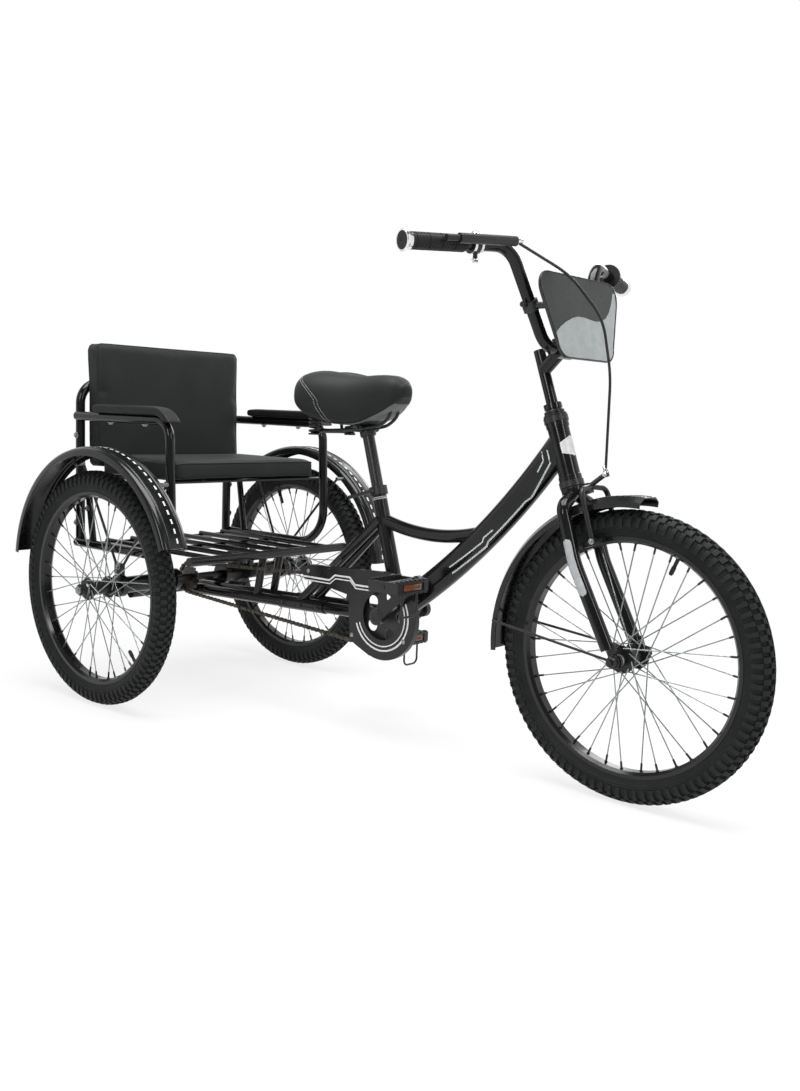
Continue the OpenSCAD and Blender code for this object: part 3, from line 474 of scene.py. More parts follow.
def stuffed(name, node, inset, cap, voxel, ease):
    """Cushion swollen by cloth pressure from a copy of its solid, inset by millimetres along, across and up."""
    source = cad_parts[node].data
    mesh = source.copy()
    mesh.name = name
    piece = in_scene(bpy.data.objects.new(name, mesh))
    low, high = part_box(node)
    middle = (low + high) / 2
    for v in mesh.vertices:
        for k in range(3):
            half = (high[k] - low[k]) / 2
            v.co[k] = middle[k] + (v.co[k] - middle[k]) * (half - inset[k] / 1000) / half
    mesh.materials.clear()
    mesh.remesh_voxel_size = voxel / 1000
    bpy.context.view_layer.objects.active = piece
    bpy.ops.object.select_all(action="DESELECT")
    piece.select_set(True)
    bpy.ops.object.voxel_remesh()
    mesh = piece.data
    rest = [v.co.copy() for v in mesh.vertices]
    cloth = piece.modifiers.new("stuffing", "CLOTH")
    cloth.settings.use_pressure = True
    cloth.settings.uniform_pressure_force = 4
    cloth.settings.effector_weights.gravity = 0
    cloth.settings.tension_stiffness = 15
    cloth.settings.compression_stiffness = 15
    cloth.settings.bending_stiffness = 4
    for step in range(1, 21):
        bpy.context.scene.frame_set(step)
    done = piece.evaluated_get(bpy.context.evaluated_depsgraph_get())
    moved = [v.co.copy() for v in done.data.vertices]
    piece.modifiers.remove(cloth)
    bpy.context.scene.frame_set(1)
    for v, a, b in zip(mesh.vertices, rest, moved):
        shift = b - a
        if shift.length > cap / 1000:
            shift *= cap / 1000 / shift.length
        v.co = a + shift
    soften = bmesh.new()
    soften.from_mesh(mesh)
    for _ in range(ease):
        bmesh.ops.smooth_vert(soften, verts=soften.verts, factor=0.5,
                              use_axis_x=True, use_axis_y=True, use_axis_z=True)
    for v in soften.verts:
        for k in range(3):
            wider = max(0, -inset[k]) / 1000
            v.co[k] = min(max(v.co[k], low[k] - 0.001 - wider), high[k] + 0.004 + wider)
    soften.to_mesh(mesh)
    soften.free()
    mesh.polygons.foreach_set("use_smooth", [True] * len(mesh.polygons))
    smooth = piece.modifiers.new("fair", "SUBSURF")
    smooth.levels = smooth.render_levels = 1
    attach(piece, "frame")
    return piece


def skin_of(piece):
    """Search tree over a cushion's faces."""
    points = [v.co.copy() for v in piece.data.vertices]
    return BVHTree.FromPolygons(points, [tuple(f.vertices) for f in piece.data.polygons])


def edge_welt(shell, piece, loop, radius):
    """Sewn welt: a thin cord under the cloth along a closed line, laid on the cushion's skin."""
    skin = skin_of(piece)
    path = []
    for p in loop:
        spot, normal, _, _ = skin.find_nearest(p)
        path.append(spot + normal * (radius * 0.25 / 1000))
    shell.wire(path, radius, 8, loop=True)


def round_loop(width, height, corner, steps=9, fill=26):
    """Rounded rectangle as a closed list of flat points, in millimetres."""
    spots = []
    for cx, cy, first in ((1, 1, 0), (-1, 1, 90), (-1, -1, 180), (1, -1, 270)):
        for k in range(steps):
            a = radians(first + 90 * k / (steps - 1))
            x = cx * (width / 2 - corner) + corner * cos(a)
            spots.append(Vector((x, cy * (height / 2 - corner) + corner * sin(a))))
    full = []
    for i, a in enumerate(spots):
        b = spots[(i + 1) % len(spots)]
        parts = max(1, int((b - a).length / fill))
        full += [a.lerp(b, k / parts) for k in range(parts)]
    return full


bench = stuffed("bench_seat", "bench_cushion", (2.5, -5, 2.5), 5.5, 5, 3)
bench.data.materials.append(bench_vinyl)
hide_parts("bench_cushion")
backrest = stuffed("bench_backrest", "backrest_cushion", (2.5, 2.5, 2.5), 5.5, 5, 3)
backrest.data.materials.append(bench_vinyl)
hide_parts("backrest_cushion")
welts = Shell()
seat_low, seat_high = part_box("bench_cushion")
seat_mid = (seat_low + seat_high) / 2
for z in (seat_high.z, seat_low.z):
    edge_welt(welts, bench, [Vector((seat_mid.x + p.x / 1000, p.y / 1000, z)) for p in round_loop(294, 442, 18)], 1.3)
lean = radians(1.7)
back_foot = from_axle(-135, 0, 521)
back_w, back_h, back_deep = 444, 304, 40
for depth in (0, -back_deep):
    loop = []
    for p in round_loop(back_w, back_h, 18):
        up = p.y + back_h / 2
        loop.append(back_foot + Vector(((depth * cos(lean) - up * sin(lean)) / 1000, p.x / 1000,
                                        (depth * sin(lean) + up * cos(lean)) / 1000)))
    edge_welt(welts, backrest, loop, 1.3)
add_piece("bench_welts", welts, bench_vinyl, "frame")

# Armrest pads: moulded foam-rubber caps pushed over the hoops, rounded on every edge,
# with a dull skin and a mould's fine pitting.
pad_skin = mottled("pad_skin", 0.28, 0.0, colour=((24, 5), (0.006, 0.006, 0.0064), (0.011, 0.011, 0.0114)),
                   rough=((300, 4), 0.46, 0.62), grain=((1400, 3), 0.2, 0.0004))
pads = stuffed("armrest_caps", "armrest_pads", (0, 0, 0), 2, 2.6, 9)
pads.data.materials.append(pad_skin)
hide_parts("armrest_pads")

# Rear mudguards: rolled steel sheet with rounded shoulders and turned-down sides, gloss black, each with
# a row of white dashes near the middle and two rolled beads, bolted to the stays through spacers.
# The front mudguard is the same sheet.
sheet_paint = sprayed_paint("sheet_paint", (0.004, 0.0042, 0.0045), (0.02, 0.02, 0.02), (0.12, 0.24), 420, 0.36)
dress("front_mudguard", sheet_paint)
dress("mudguard_stays", satin_steel)
guard_hub, guard_r, guard_mid, guard_half, dash_in = Vector((10, 285)), 297, 317, 33, 5
# half of the rolled section, from its lip up: across, outward from the crown
guard_side = ((33, -19), (33, -10), (31.6, -5.4), (28, -2.2), (22, -0.7), (11, -0.1))
guard_under = ((31.4, -19), (31.4, -10.4), (30.2, -6.6), (27.2, -3.9), (21.6, -2.4), (11, -1.7))
guard_section = list(guard_side) + [(0, 0)] + [(-w, h) for w, h in reversed(guard_side)]
guard_section += [(-w, h) for w, h in guard_under] + [(0, -1.6)] + list(reversed(guard_under))
dash_form = ((-2, -0.3), (-2, 0.4), (2, 0.4), (2, -0.3))
bead_form = ((-3, -0.6), (-1.6, 0.7), (0, 1.1), (1.6, 0.7), (3, -0.6))
dashes, beads, rivets = Shell(), Shell(), Shell()
# guards: node, side, first and last angle
for guard_node, side, first, last in (("rear_mudguard_right", -1, 20, 173), ("rear_mudguard_left", 1, 4, 128)):
    def on_guard(angle, across, lift):
        """Point by the crown: angle round the wheel, millimetres outboard of the middle and above the crown."""
        turn_at = radians(angle)
        reach = guard_r + lift
        return from_axle(guard_hub.x + reach * cos(turn_at), side * (guard_mid + across),
                         guard_hub.y + reach * sin(turn_at))
    guard = Shell()
    guard.rings([[on_guard(first + (last - first) * k / 90, w, h) for w, h in guard_section] for k in range(91)])
    guard_piece = add_piece(guard_node.replace("rear", "rolled"), guard, sheet_paint,
                            "frame", 50)
    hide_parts(guard_node)
    for k in range(int((last - first) / 4.2)):
        start = first + 2 + 4.2 * k
        dashes.rings([[on_guard(start + part, w - dash_in, h) for w, h in dash_form] for part in (0, 0.7, 1.4, 2.1)])
    for across in (-17, 17):
        beads.rings([[on_guard(first + 1 + (last - first - 2) * k / 60, across + w, h) for w, h in bead_form]
                     for k in range(61)])
    for angle in (52, 118):
        rivets.bolt(on_guard(angle, 1.8 - guard_half, -12), (0, side, 0), 8)
        rivets.turned(on_guard(angle, 0.4 - guard_half, -12), (0, -side, 0), [(0, 4.6), (21.5, 4.6), (22, 4)], 20)
add_piece("guard_dashes", dashes, badge_white, "frame")
add_piece("guard_beads", beads, sheet_paint, "frame", 60)
add_piece("guard_rivets", rivets, zinc, "frame")

# Chain guard: a moulded shell round the chainwheel with an arm over the upper run, gloss black,
# lined with two white bands that step along the arm and circle the crank opening.
moulded_gloss = sprayed_paint("moulded_gloss", (0.004, 0.004, 0.0043), (0.015, 0.015, 0.016), (0.14, 0.26), 300, 0.36)
dress("chain_guard", moulded_gloss)
bands = Shell()
guard_face = -62.15
# stepping bands, from the crank axle: along, up
step_rows = ((-228, 55), (-150, 55.5), (-134, 68), (-91, 69), (-75, 55), (-31, 56), (-13, 70), (6, 72))


def flat_band(rows, width):
    """Strip of film on the guard's face, with mitred corners."""
    spots = [Vector(r) for r in rows]
    ring_rows = []
    for i, p in enumerate(spots):
        a = (p - spots[i - 1]).normalized() if i else (spots[1] - p).normalized()
        b = (spots[i + 1] - p).normalized() if i < len(spots) - 1 else a
        run = (a + b).normalized()
        normal = Vector((-run.y, run.x)) * (width / 2 / max(0.5, run.dot(b)))
        ring_rows.append([from_axle(crank_x + (p + normal * s).x, guard_face - d, crank_z + (p + normal * s).y)
                          for s, d in ((-1, -0.3), (-1, 0.15), (1, 0.15), (1, -0.3))])
    bands.rings(ring_rows)


flat_band(step_rows, 3.6)
flat_band([(x + 2, z - 7.2) for x, z in step_rows], 2.4)
for radius, width in ((72, 3.6), (63, 2.6)):
    flat_band([(radius * cos(radians(a)), radius * sin(radians(a)))
               for a in range(-160, 32, 4)], width)
add_piece("chain_guard_bands", bands, badge_white, "frame")
guard_screws = Shell()
for x, z in ((-214, 68), (-80, -52), (62, -44)):
    guard_screws.turned(from_axle(crank_x + x, guard_face + 0.6, crank_z + z), (0, -1, 0),
                        [(0, 4.6), (1.4, 4.4), (2.6, 3), (3, 1)], 20)
add_piece("chain_guard_screws", guard_screws, zinc, "frame")

# Chain: half-inch roller chain from the chainwheel to the axle's sprocket, in steel browned by oil.
# Pairs of waisted plates are riveted on pins, inner and outer by turns, with a roller on each pin.
oiled = mottled("oiled_chain", 0.5, 1.0, colour=((130, 5), (0.05, 0.043, 0.036), (0.15, 0.135, 0.12)),
                rough=((420, 4), 0.3, 0.52), grain=((900, 3), 0.1, 0.0003))
dress("rear_sprocket", oiled)
pitch_mm, wheel_teeth, sprocket_teeth, chain_y, axle_z = 12.7, 36, 18, -48, 265
big_r = pitch_mm / 2 / sin(pi / wheel_teeth)
small_r = pitch_mm / 2 / sin(pi / sprocket_teeth)
run_length = hypot(crank_x, crank_z - axle_z)
run_tilt = atan2(crank_z - axle_z, crank_x)
wrap = pi - acos((big_r - small_r) / run_length)
straight = run_length * sin(wrap)
whole = 2 * straight + big_r * 2 * wrap + small_r * (2 * pi - 2 * wrap)
links = 2 * round(whole / pitch_mm / 2)


def on_chain(d):
    """Pin place at a distance round the loop, from the rear axle, along and up."""
    d %= whole
    if d < straight:
        p = Vector((small_r * cos(wrap), small_r * sin(wrap)))
        p += d * Vector((sin(wrap), -cos(wrap)))
    elif d < straight + 2 * wrap * big_r:
        a = wrap - (d - straight) / big_r
        p = Vector((run_length + big_r * cos(a), big_r * sin(a)))
    elif d < 2 * straight + 2 * wrap * big_r:
        e = d - straight - 2 * wrap * big_r
        p = Vector((run_length + big_r * cos(wrap), -big_r * sin(wrap)))
        p -= e * Vector((sin(wrap), cos(wrap)))
    else:
        a = -wrap - (d - 2 * straight - 2 * wrap * big_r) / small_r
        p = Vector((small_r * cos(a), small_r * sin(a)))
    cosine, sine = cos(run_tilt), sin(run_tilt)
    return Vector((p.x * cosine - p.y * sine, p.x * sine + p.y * cosine))


chain = Shell()
# plate outline: share of the pitch, half height
plate_form = ((-0.3, 1.4), (-0.22, 3.1), (0, 4.1), (0.2, 3.5), (0.5, 2.7),
              (0.8, 3.5), (1, 4.1), (1.22, 3.1), (1.3, 1.4))
for i in range(links):
    a, b = on_chain(i * whole / links), on_chain((i + 1) * whole / links)
    run = (b - a).normalized()
    tall = Vector((-run.y, run.x))
    outline = [a + run * (k * (b - a).length) + tall * h for k, h in plate_form]
    outline += [a + run * (k * (b - a).length) - tall * h for k, h in reversed(plate_form)]
    for y in ((-3.3, 3.3) if i % 2 else (-2.1, 2.1)):
        chain.rings([[from_axle(p.x, chain_y + y + t, axle_z + p.y) for p in outline] for t in (-0.55, 0.55)])
    chain.turned(from_axle(a.x, chain_y - 4.4, axle_z + a.y), (0, 1, 0),
                 [(0, 1.2), (0.4, 1.9), (8.4, 1.9), (8.8, 1.2)], 8)
    chain.turned(from_axle(a.x, chain_y - 1.6, axle_z + a.y), (0, 1, 0), [(0, 3.9), (3.2, 3.9)], 10)
chain_piece = add_piece("roller_chain", chain, oiled, "frame")
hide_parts("chain")

# Seat post and clamp: a plain steel post in the seat tube, held by a cam lever and a band,
# with two thin white rings on the tube below the clamp.
post_steel = mottled("post_steel", 0.5, 0.0,
                     colour=((40, 5, (1, 1, 0.12)), (0.011, 0.011, 0.0115), (0.022, 0.022, 0.022)),
                     rough=((160, 4, (1, 1, 0.1)), 0.22, 0.38), grain=((500, 3), 0.07, 0.0003))
dress("seat_post", post_steel)
dress("seat_clamp", satin_steel)
post_marks = Shell()
mark_form = ((0, 15.4), (0.2, 15.68), (1.6, 15.68), (1.8, 15.4))
for along in (242, 245.4):
    post_marks.turned(crank_at, seat_up, [(along + d, r) for d, r in mark_form], 40, caps=False)
add_piece("post_marks", post_marks, lining_white, "frame")

# Saddle: a wide sprung comfort saddle, foam under matte black vinyl stretched over a moulded base,
# with two raised cheeks, a shallow channel and a double row of pale stitches over each flank.
saddle_vinyl = coated_vinyl("saddle_vinyl", (0.0066, 0.0078, 0.0077), 950)
base_plastic = mottled("saddle_base_plastic", 0.4, 0.0, colour=((30, 5), (0.085, 0.092, 0.088), (0.13, 0.138, 0.132)),
                       rough=((260, 4), 0.45, 0.6), grain=((1200, 3), 0.15, 0.0004))
post_length = 0.388
post_top = crank_at + seat_up * post_length
saddle_at = post_top + Vector((-0.02, 0, 0.02))
# stations: along, half width, top, bottom, depth of the channel
stations = ((-134, 34, 70, 42, 0), (-126, 70, 88, 30, 1), (-108, 95, 103, 18, 3), (-80, 104, 108, 5, 5),
            (-45, 96, 106, -4, 6), (-10, 78, 101, -7, 6), (25, 61, 99, -4, 4), (60, 49, 101, 10, 2),
            (90, 41, 100, 25, 1), (110, 33, 93, 39, 0), (122, 20, 83, 52, 0))
tail_x, nose_x = stations[0][0], stations[-1][0]


def station_at(x):
    """Smooth half width, top, bottom and channel depth along the saddle."""
    i = 0
    while i < len(stations) - 2 and stations[i + 1][0] < x:
        i += 1
    p = [stations[max(0, min(len(stations) - 1, i + k))] for k in (-1, 0, 1, 2)]
    t = (x - p[1][0]) / (p[2][0] - p[1][0])
    found = []
    for c in range(1, 5):
        m1 = (p[2][c] - p[0][c]) / max(1, p[2][0] - p[0][0]) * (p[2][0] - p[1][0])
        m2 = (p[3][c] - p[1][c]) / max(1, p[3][0] - p[1][0]) * (p[2][0] - p[1][0])
        found.append((2 * t ** 3 - 3 * t ** 2 + 1) * p[1][c] + (t ** 3 - 2 * t ** 2 + t) * m1
                     + (3 * t ** 2 - 2 * t ** 3) * p[2][c] + (t ** 3 - t ** 2) * m2)
    return found


def on_saddle(x, angle, swell=0.0):
    """Point on the cover: angle 0 at the left flank, 90 on top, 180 at the right flank."""
    half, top, low, channel = station_at(x)
    a = radians(angle)
    cosine, sine = cos(a), sin(a)
    waist = low + (top - low) * 0.4
    if sine >= 0:
        y = (half + swell) * copysign(abs(cosine) ** 0.72, cosine)
        z = waist + (top + swell - waist) * sine ** 0.78
        z -= channel * exp(-(y / 15) ** 2)
    else:
        y = (half + swell) * copysign(abs(cosine) ** 0.36, cosine)
        z = waist - (waist - low) * abs(sine) ** 0.7
        y *= 1 - 0.1 * abs(sine) ** 2
    return saddle_at + Vector((x, y, z)) / 1000


def closing_ring(x, out, share):
    """Ring that rounds off an end: the end's own outline drawn in to a share of its size."""
    ring = [on_saddle(x, 360 * k / 56) for k in range(56)]
    middle = sum(ring, Vector()) / len(ring)
    return [middle + (p - middle) * share + Vector((out / 1000, 0, 0)) for p in ring]


saddle = Shell()
spots = [tail_x + (nose_x - tail_x) * (0.5 - 0.5 * cos(pi * k / 44)) for k in range(45)]
saddle_rings = [closing_ring(tail_x, out, share) for out, share in ((-5.6, 0.16), (-5, 0.5), (-3, 0.82))]
saddle_rings += [[on_saddle(x, 360 * k / 56) for k in range(56)] for x in spots]
saddle_rings += [closing_ring(nose_x, out, share) for out, share in ((3.4, 0.84), (6, 0.54), (7, 0.18))]
saddle.rings(saddle_rings)
saddle_piece = add_piece("saddle_cover", saddle, saddle_vinyl, "frame", 180)
fair = saddle_piece.modifiers.new("fair", "SUBSURF")
fair.levels = fair.render_levels = 1
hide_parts("saddle")
base = Shell()
# base tray: it only shows under the nose, where it drops below the cover
tray_rings = []
for x in range(-110, 117, 6):
    half, _, low, _ = station_at(x)
    w, drop = half * 0.74, -1.5 + 4.5 * sin(pi * min(1, max(0, (x - 40) / 80)))
    tray_rings.append([saddle_at + Vector((x, y, z)) / 1000 for y, z in (
        (-w, low + 3), (-w * 0.86, low - drop), (0, low - drop * 1.3),
        (w * 0.86, low - drop), (w, low + 3), (0, low + 5))])
base.rings(tray_rings)
add_piece("saddle_base", base, base_plastic, "frame", 50)
thread = mottled("pale_thread", 0.3, 0.0, colour=((700, 3), (0.3, 0.29, 0.27), (0.5, 0.49, 0.46)),
                 rough=((900, 3), 0.6, 0.8), grain=((3000, 2), 0.2, 0.0002))
stitches = Shell()
# seam over the flank: angle round the cover, place along it
seam_rows = ((66, -121), (34, -99), (14.5, -68), (1.4, -48), (-20, -38), (-60, -32))
for side in (-1, 1):
    for row in (0, 7.5):
        line = []
        for (up1, x1), (up2, x2) in zip(seam_rows, seam_rows[1:]):
            for k in range(32):
                up, x = up1 + (up2 - up1) * k / 32, x1 + (x2 - x1) * k / 32
                line.append(on_saddle(x + row, up if side > 0 else 180 - up, 0.35))
        walked, last = 0.0, None
        for a, b in zip(line, line[1:]):
            step = (b - a).length * 1000
            if walked % 5.2 < 3.4:
                last = (last or [a]) + [b]
            elif last:
                if len(last) > 1:
                    stitches.wire(last, 0.42, 6)
                last = None
            walked += step
        if last and len(last) > 1:
            stitches.wire(last, 0.42, 6)
add_piece("saddle_stitches", stitches, thread, "frame")

# Saddle carrier: two bent spring-steel rails, painted satin black, held on the post by a two-bolt
# clamp, with a coil spring under each cheek.
carrier = Shell()
for s in (-1, 1):
    knots = [Vector((x, s * y, z)) for x, y, z in (
        (-88, 34, 17), (-89, 34, -10), (-80, 33, -19), (-40, 27, -18), (0, 22, -14),
        (36, 17, -10), (66, 12, -3), (88, 12, 14), (94, 12, 33))]
    path = []
    for i in range(len(knots) - 1):
        p = [knots[max(0, min(len(knots) - 1, i + k))] for k in (-1, 0, 1, 2)]
        for k in range(6):
            t = k / 6
            path.append(saddle_at + (p[1] * 2 + (p[2] - p[0]) * t + (p[0] * 2 - p[1] * 5 + p[2] * 4 - p[3]) * t * t
                                     + (p[1] * 3 - p[0] - p[2] * 3 + p[3]) * t ** 3) / 2000)
    path.append(saddle_at + knots[-1] / 1000)
    carrier.wire(path, 3.5, 12)
    coil = []
    for k in range(181):
        a = 2 * pi * 5 * k / 180
        x, y = -84 + 10.5 * cos(a), s * 56 + 10.5 * sin(a)
        coil.append(saddle_at + Vector((x, y, -27 + 42 * k / 180)) / 1000)
    carrier.wire(coil, 2.1, 8)
    carrier.turned(saddle_at + Vector((-84, s * 56, -30)) / 1000, (0, 0, 1), [(0, 12.2), (2, 12.6), (3.4, 12)], 28)
carrier.wire([saddle_at + Vector((-86, y, -23)) / 1000 for y in (-62, -30, 0, 30, 62)], 3.6, 12)
carrier.turned(post_top, seat_up, [(-9, 15.8), (-7, 17), (14, 17), (17, 15.2)], 36)
clamp_mid = post_top + seat_up * 0.009
carrier.turned(clamp_mid - Vector((0, 0.03, 0)), (0, 1, 0),
               [(0, 6), (1, 9), (10, 9), (11, 7), (49, 7), (50, 9), (59, 9), (60, 6)], 24)
carrier_piece = add_piece("saddle_carrier", carrier, satin_steel, "frame")
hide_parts("saddle_frame")
clamp_nuts = Shell()
for s in (-1, 1):
    clamp_nuts.bolt(clamp_mid + Vector((0, s * 0.0296, 0)), (0, s, 0), 11)
add_piece("saddle_clamp_nuts", clamp_nuts, satin_steel, "frame")

# Fork, stem and handlebar: bent steel tube, gloss black like the frame. A blank silver capsule
# of film sits on the outside of each fork leg.
for tube in ("fork", "stem", "handlebar"):
    dress(tube, tube_paint)
capsule_silver = film("capsule_silver", (0.42, 0.435, 0.44), 0.3)
capsules = Shell()
for s in (-1, 1):
    cap_rows = []
    for k in range(41):
        z = -105 - 106 * k / 40
        end = min(1.0, min(k, 40 - k) / 40 * 106 / 8)
        half = radians(38) * sqrt(max(0.0, 1 - (1 - end) ** 2)) + 0.02
        # the leg leans back to a slow bend, then forward to the axle
        lean_fore = max(-0.0291 * (-z - 47), -3 + 0.148 * (-z - 150)) + 0.9 * max(0.0, 1 - abs(z + 150) / 14) ** 2
        ring = []
        for radius, order in ((12.75, range(9)), (12.1, reversed(range(9)))):
            for m in order:
                a = half * (m / 4 - 1)
                ring.append(head_at + axis_up * (z / 1000) + axis_fore * ((radius * sin(a) + lean_fore) / 1000)
                            + Vector((0, s * (50 + radius * cos(a)) / 1000, 0)))
        cap_rows.append(ring)
    capsules.rings(cap_rows)
add_piece("fork_capsules", capsules, capsule_silver, "steering")

# Grips: rubber sleeves pushed on the bar. The right one is cut into ring segments, the left one has a
# waffle pattern behind a round flange, and each ends in a bright flared ring with a dark plug.
grip_rubber = mottled("grip_rubber", 0.3, 0.0, colour=((60, 5), (0.0055, 0.0055, 0.006), (0.0105, 0.0105, 0.011)),
                      rough=((500, 4), 0.42, 0.6), grain=((1800, 3), 0.16, 0.0003))
bright = mottled("bright_chrome", 0.5, 1.0, colour=((70, 4), (0.72, 0.73, 0.74), (0.86, 0.86, 0.86)),
                 rough=((260, 4), 0.06, 0.16), grain=((500, 3), 0.03, 0.0002))
clamp_at = from_axle(993.501, 0, 808.097)
bar_bend, bar_end = Vector((144, 26, 166)), Vector((358, 86, 151))
grip_run = (bar_end - bar_bend).normalized()
grip_length = 124


def on_bar(side, row):
    """Row: sideways, back and up from the clamp."""
    return clamp_at + Vector((-row[1], side * row[0], row[2])) / 1000


def grip_axis(side):
    return Vector((-grip_run[1], side * grip_run[0], grip_run[2]))


grips = Shell()
for side in (-1, 1):
    start = on_bar(side, bar_end - grip_run * grip_length)
    run = grip_axis(side)
    one = run.orthogonal().normalized()
    two = run.cross(one)
    rings = []
    for k in range(225):
        d = 112 * k / 224
        ring = []
        for m in range(96):
            a = 2 * pi * m / 96
            if side < 0:
                lap = d % 26
                groove = 1.3 if lap < 2 else (0.7 if (lap - 2) % 6 < 1.2 else 0)
                groove += 0.7 if m % 16 < 2 and lap > 2 else 0
            else:
                groove = 1.1 if d % 8 < 1.8 or m % 8 < 2 else 0
                if d < 7:
                    groove = -9.5 if d < 5 else 0
            r = (14.5 - groove) / 1000
            ring.append(start + run * (d / 1000) + (one * cos(a) + two * sin(a)) * r)
        rings.append(ring)
    grips.rings(rings)
grip_piece = add_piece("bar_grips", grips, grip_rubber, "steering", 50)
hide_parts("grips")
ends, plugs = Shell(), Shell()
for side in (-1, 1):
    at, run = on_bar(side, bar_end), grip_axis(side)
    ends.turned(at, run, [(-11.8, 14.6), (-11.4, 15.2), (-8, 15.4), (-4, 16.4), (-1, 17.7),
                          (1.2, 18), (1.9, 17.4), (1.9, 15.3), (0.2, 15)], 56)
    plugs.turned(at, run, [(0.6, 15.1), (1.4, 15.2), (2.1, 14.4), (2.1, 5), (1.4, 4.2), (1.4, 0.8)], 48)
flange_ring = Shell()
flange_ring.turned(on_bar(1, bar_end - grip_run * grip_length), grip_axis(1),
                   [(5.0, 15), (5.1, 22.2), (6.4, 21.6), (6.4, 15)], 56)
end_piece = add_piece("grip_ends", ends, bright, "steering")
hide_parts("grip_rings")
add_piece("grip_plugs", plugs, grip_rubber, "steering")
add_piece("grip_flange_ring", flange_ring, badge_white, "steering")

# Brake lever, cable and caliper: a black lever barrel clamped by a bright band, a jacketed cable in one
# free curve to the fork crown, bright ferrules at both ends, and a side-pull caliper with rubber blocks.
dress("brake_lever", satin_steel)
dress("brake_caliper", satin_steel)
jacket = mottled("cable_jacket", 0.4, 0.0, colour=((80, 4), (0.006, 0.006, 0.006), (0.013, 0.013, 0.013)),
                 rough=((300, 4), 0.25, 0.4), grain=((900, 3), 0.06, 0.0002))
dress("brake_cable", jacket)
lever_spot = bar_end - grip_run * 146


def on_lever(t):
    """Place along the lever barrel, millimetres outward from its clip."""
    return on_bar(-1, lever_spot + grip_run * t) + Vector((0.02, -0.022, 0.004))


fittings = Shell()
barrel_run = grip_axis(-1)
fittings.turned(on_lever(-84), -barrel_run,
                [(-1, 6.2), (0.4, 6.4), (3, 6.2), (4, 4.6), (9, 4.4), (10, 3.4), (15, 3.2)], 24)
clip = on_bar(-1, lever_spot)
for t in (-7, 7):
    fittings.turned(clip + barrel_run * (t / 1000), barrel_run,
                    [(-2.4, 16), (-2.2, 16.5), (2.2, 16.5), (2.4, 16)], 40, caps=False)
fittings.bolt(clip + Vector((0.002, 0, -0.0256)), (0, 0, -1), 10)
fittings.turned(clip + Vector((0.004, -0.004, 0.014)), (0, 0, 1), [(0, 9), (3, 9), (5.5, 6.4), (6.6, 2)], 24)
cable_foot = head_at + axis_fore * 0.064 + Vector((0, 0.018, 0)) + axis_up * -0.004
fittings.turned(cable_foot, axis_up, [(1, 5.6), (4, 5.6), (6, 4.2), (14, 4), (15, 3)], 20)
fittings.bolt(cable_foot + Vector((0, -0.005, -0.002)), (0, -1, 0), 8, False)
add_piece("brake_fittings", fittings, bright, "steering")
caliper_bolts = Shell()
for s in (-1, 1):
    caliper_bolts.bolt(head_at + axis_fore * 0.040 + Vector((0, s * 0.0495, 0)) + axis_up * -0.120, (0, s, 0), 7)
add_piece("caliper_bolts", caliper_bolts, zinc, "steering")

# Front plate: a thin moulded plate clipped to the bar's uprights. Its upper part is left dark grey, and
# a plain silver field with a waved upper edge fills the lower part. It carries no words.
plate_grey = mottled("plate_grey", 0.4, 0.0, colour=((20, 5), (0.019, 0.02, 0.0205), (0.028, 0.0295, 0.03)),
                     rough=((160, 4), 0.34, 0.48), grain=((1300, 2), 0.08, 0.0003))
dress("front_plate", plate_grey)
silver_field = film("silver_field", (0.37, 0.395, 0.4), 0.36)
plate_at = clamp_at + Vector((0.037, 0, 0.053))
plate_lean = radians(11.7)


def on_plate(a, b, c):
    """Point on the plate: sideways, up its slope, and out from its back, in millimetres."""
    cosine, sine = cos(plate_lean), sin(plate_lean)
    return plate_at + Vector((c * cosine - b * sine, a, b * cosine + c * sine)) / 1000


# upper edge of the silver field: sideways, up
wave_rows = ((-106, -36), (-98.8, -32.6), (-81, -20.3), (-61, -10.2), (-36, -1.3), (-17, 2.5), (2, 2.2),
             (21, 0), (41, -1.7), (61, 0.1), (80, 7.3), (95, 19.7), (108, 38.2), (117, 58))


def wave_at(a):
    for (x1, y1), (x2, y2) in zip(wave_rows, wave_rows[1:]):
        if a <= x2:
            return y1 + (y2 - y1) * (a - x1) / (x2 - x1)
    return wave_rows[-1][1]


def plate_half(b, inset):
    """Half width of the plate at a height on its slope."""
    top, low, corner = 131 - 30, 0.37 * 262 - 30, 30 - inset
    y = 151 / 2 - 30
    share = min(1, max(0, (b + y) / (2 * y)))
    straight_half = low + (top - low) * share
    over = max(0.0, abs(b) - y)
    return straight_half + sqrt(max(0.0, corner ** 2 - over ** 2))


field = Shell()
lines = []
for k in range(97):
    a = -105 + 229 * k / 96
    column = [b for b in (-73 + 146 * m / 292 for m in range(293)) if abs(a) <= plate_half(b, 3) and b <= wave_at(a)]
    if len(column) > 2:
        lines.append((a, column[0], column[-1]))
field.rings([[on_plate(a, b, c) for b, c in (
    (b1, 4.35), (b1 * 0.5 + b2 * 0.5, 4.38), (b2, 4.35), (b2, 3.7), (b1, 3.7))] for a, b1, b2 in lines])
add_piece("plate_silver_field", field, silver_field, "steering")
rim_line = Shell()
edge = []
for k in range(120):
    a = 2 * pi * k / 120
    cosine, sine, reach = cos(a), sin(a), 0
    while reach < 170 and abs(reach * cosine) <= plate_half(reach * sine, 1) and abs(reach * sine) <= 74.5:
        reach += 0.5
    edge.append(on_plate(reach * cosine, reach * sine, 3.8))
rim_line.wire(edge, 1.1, 8, loop=True)
add_piece("plate_rim", rim_line, moulded_gloss, "steering")

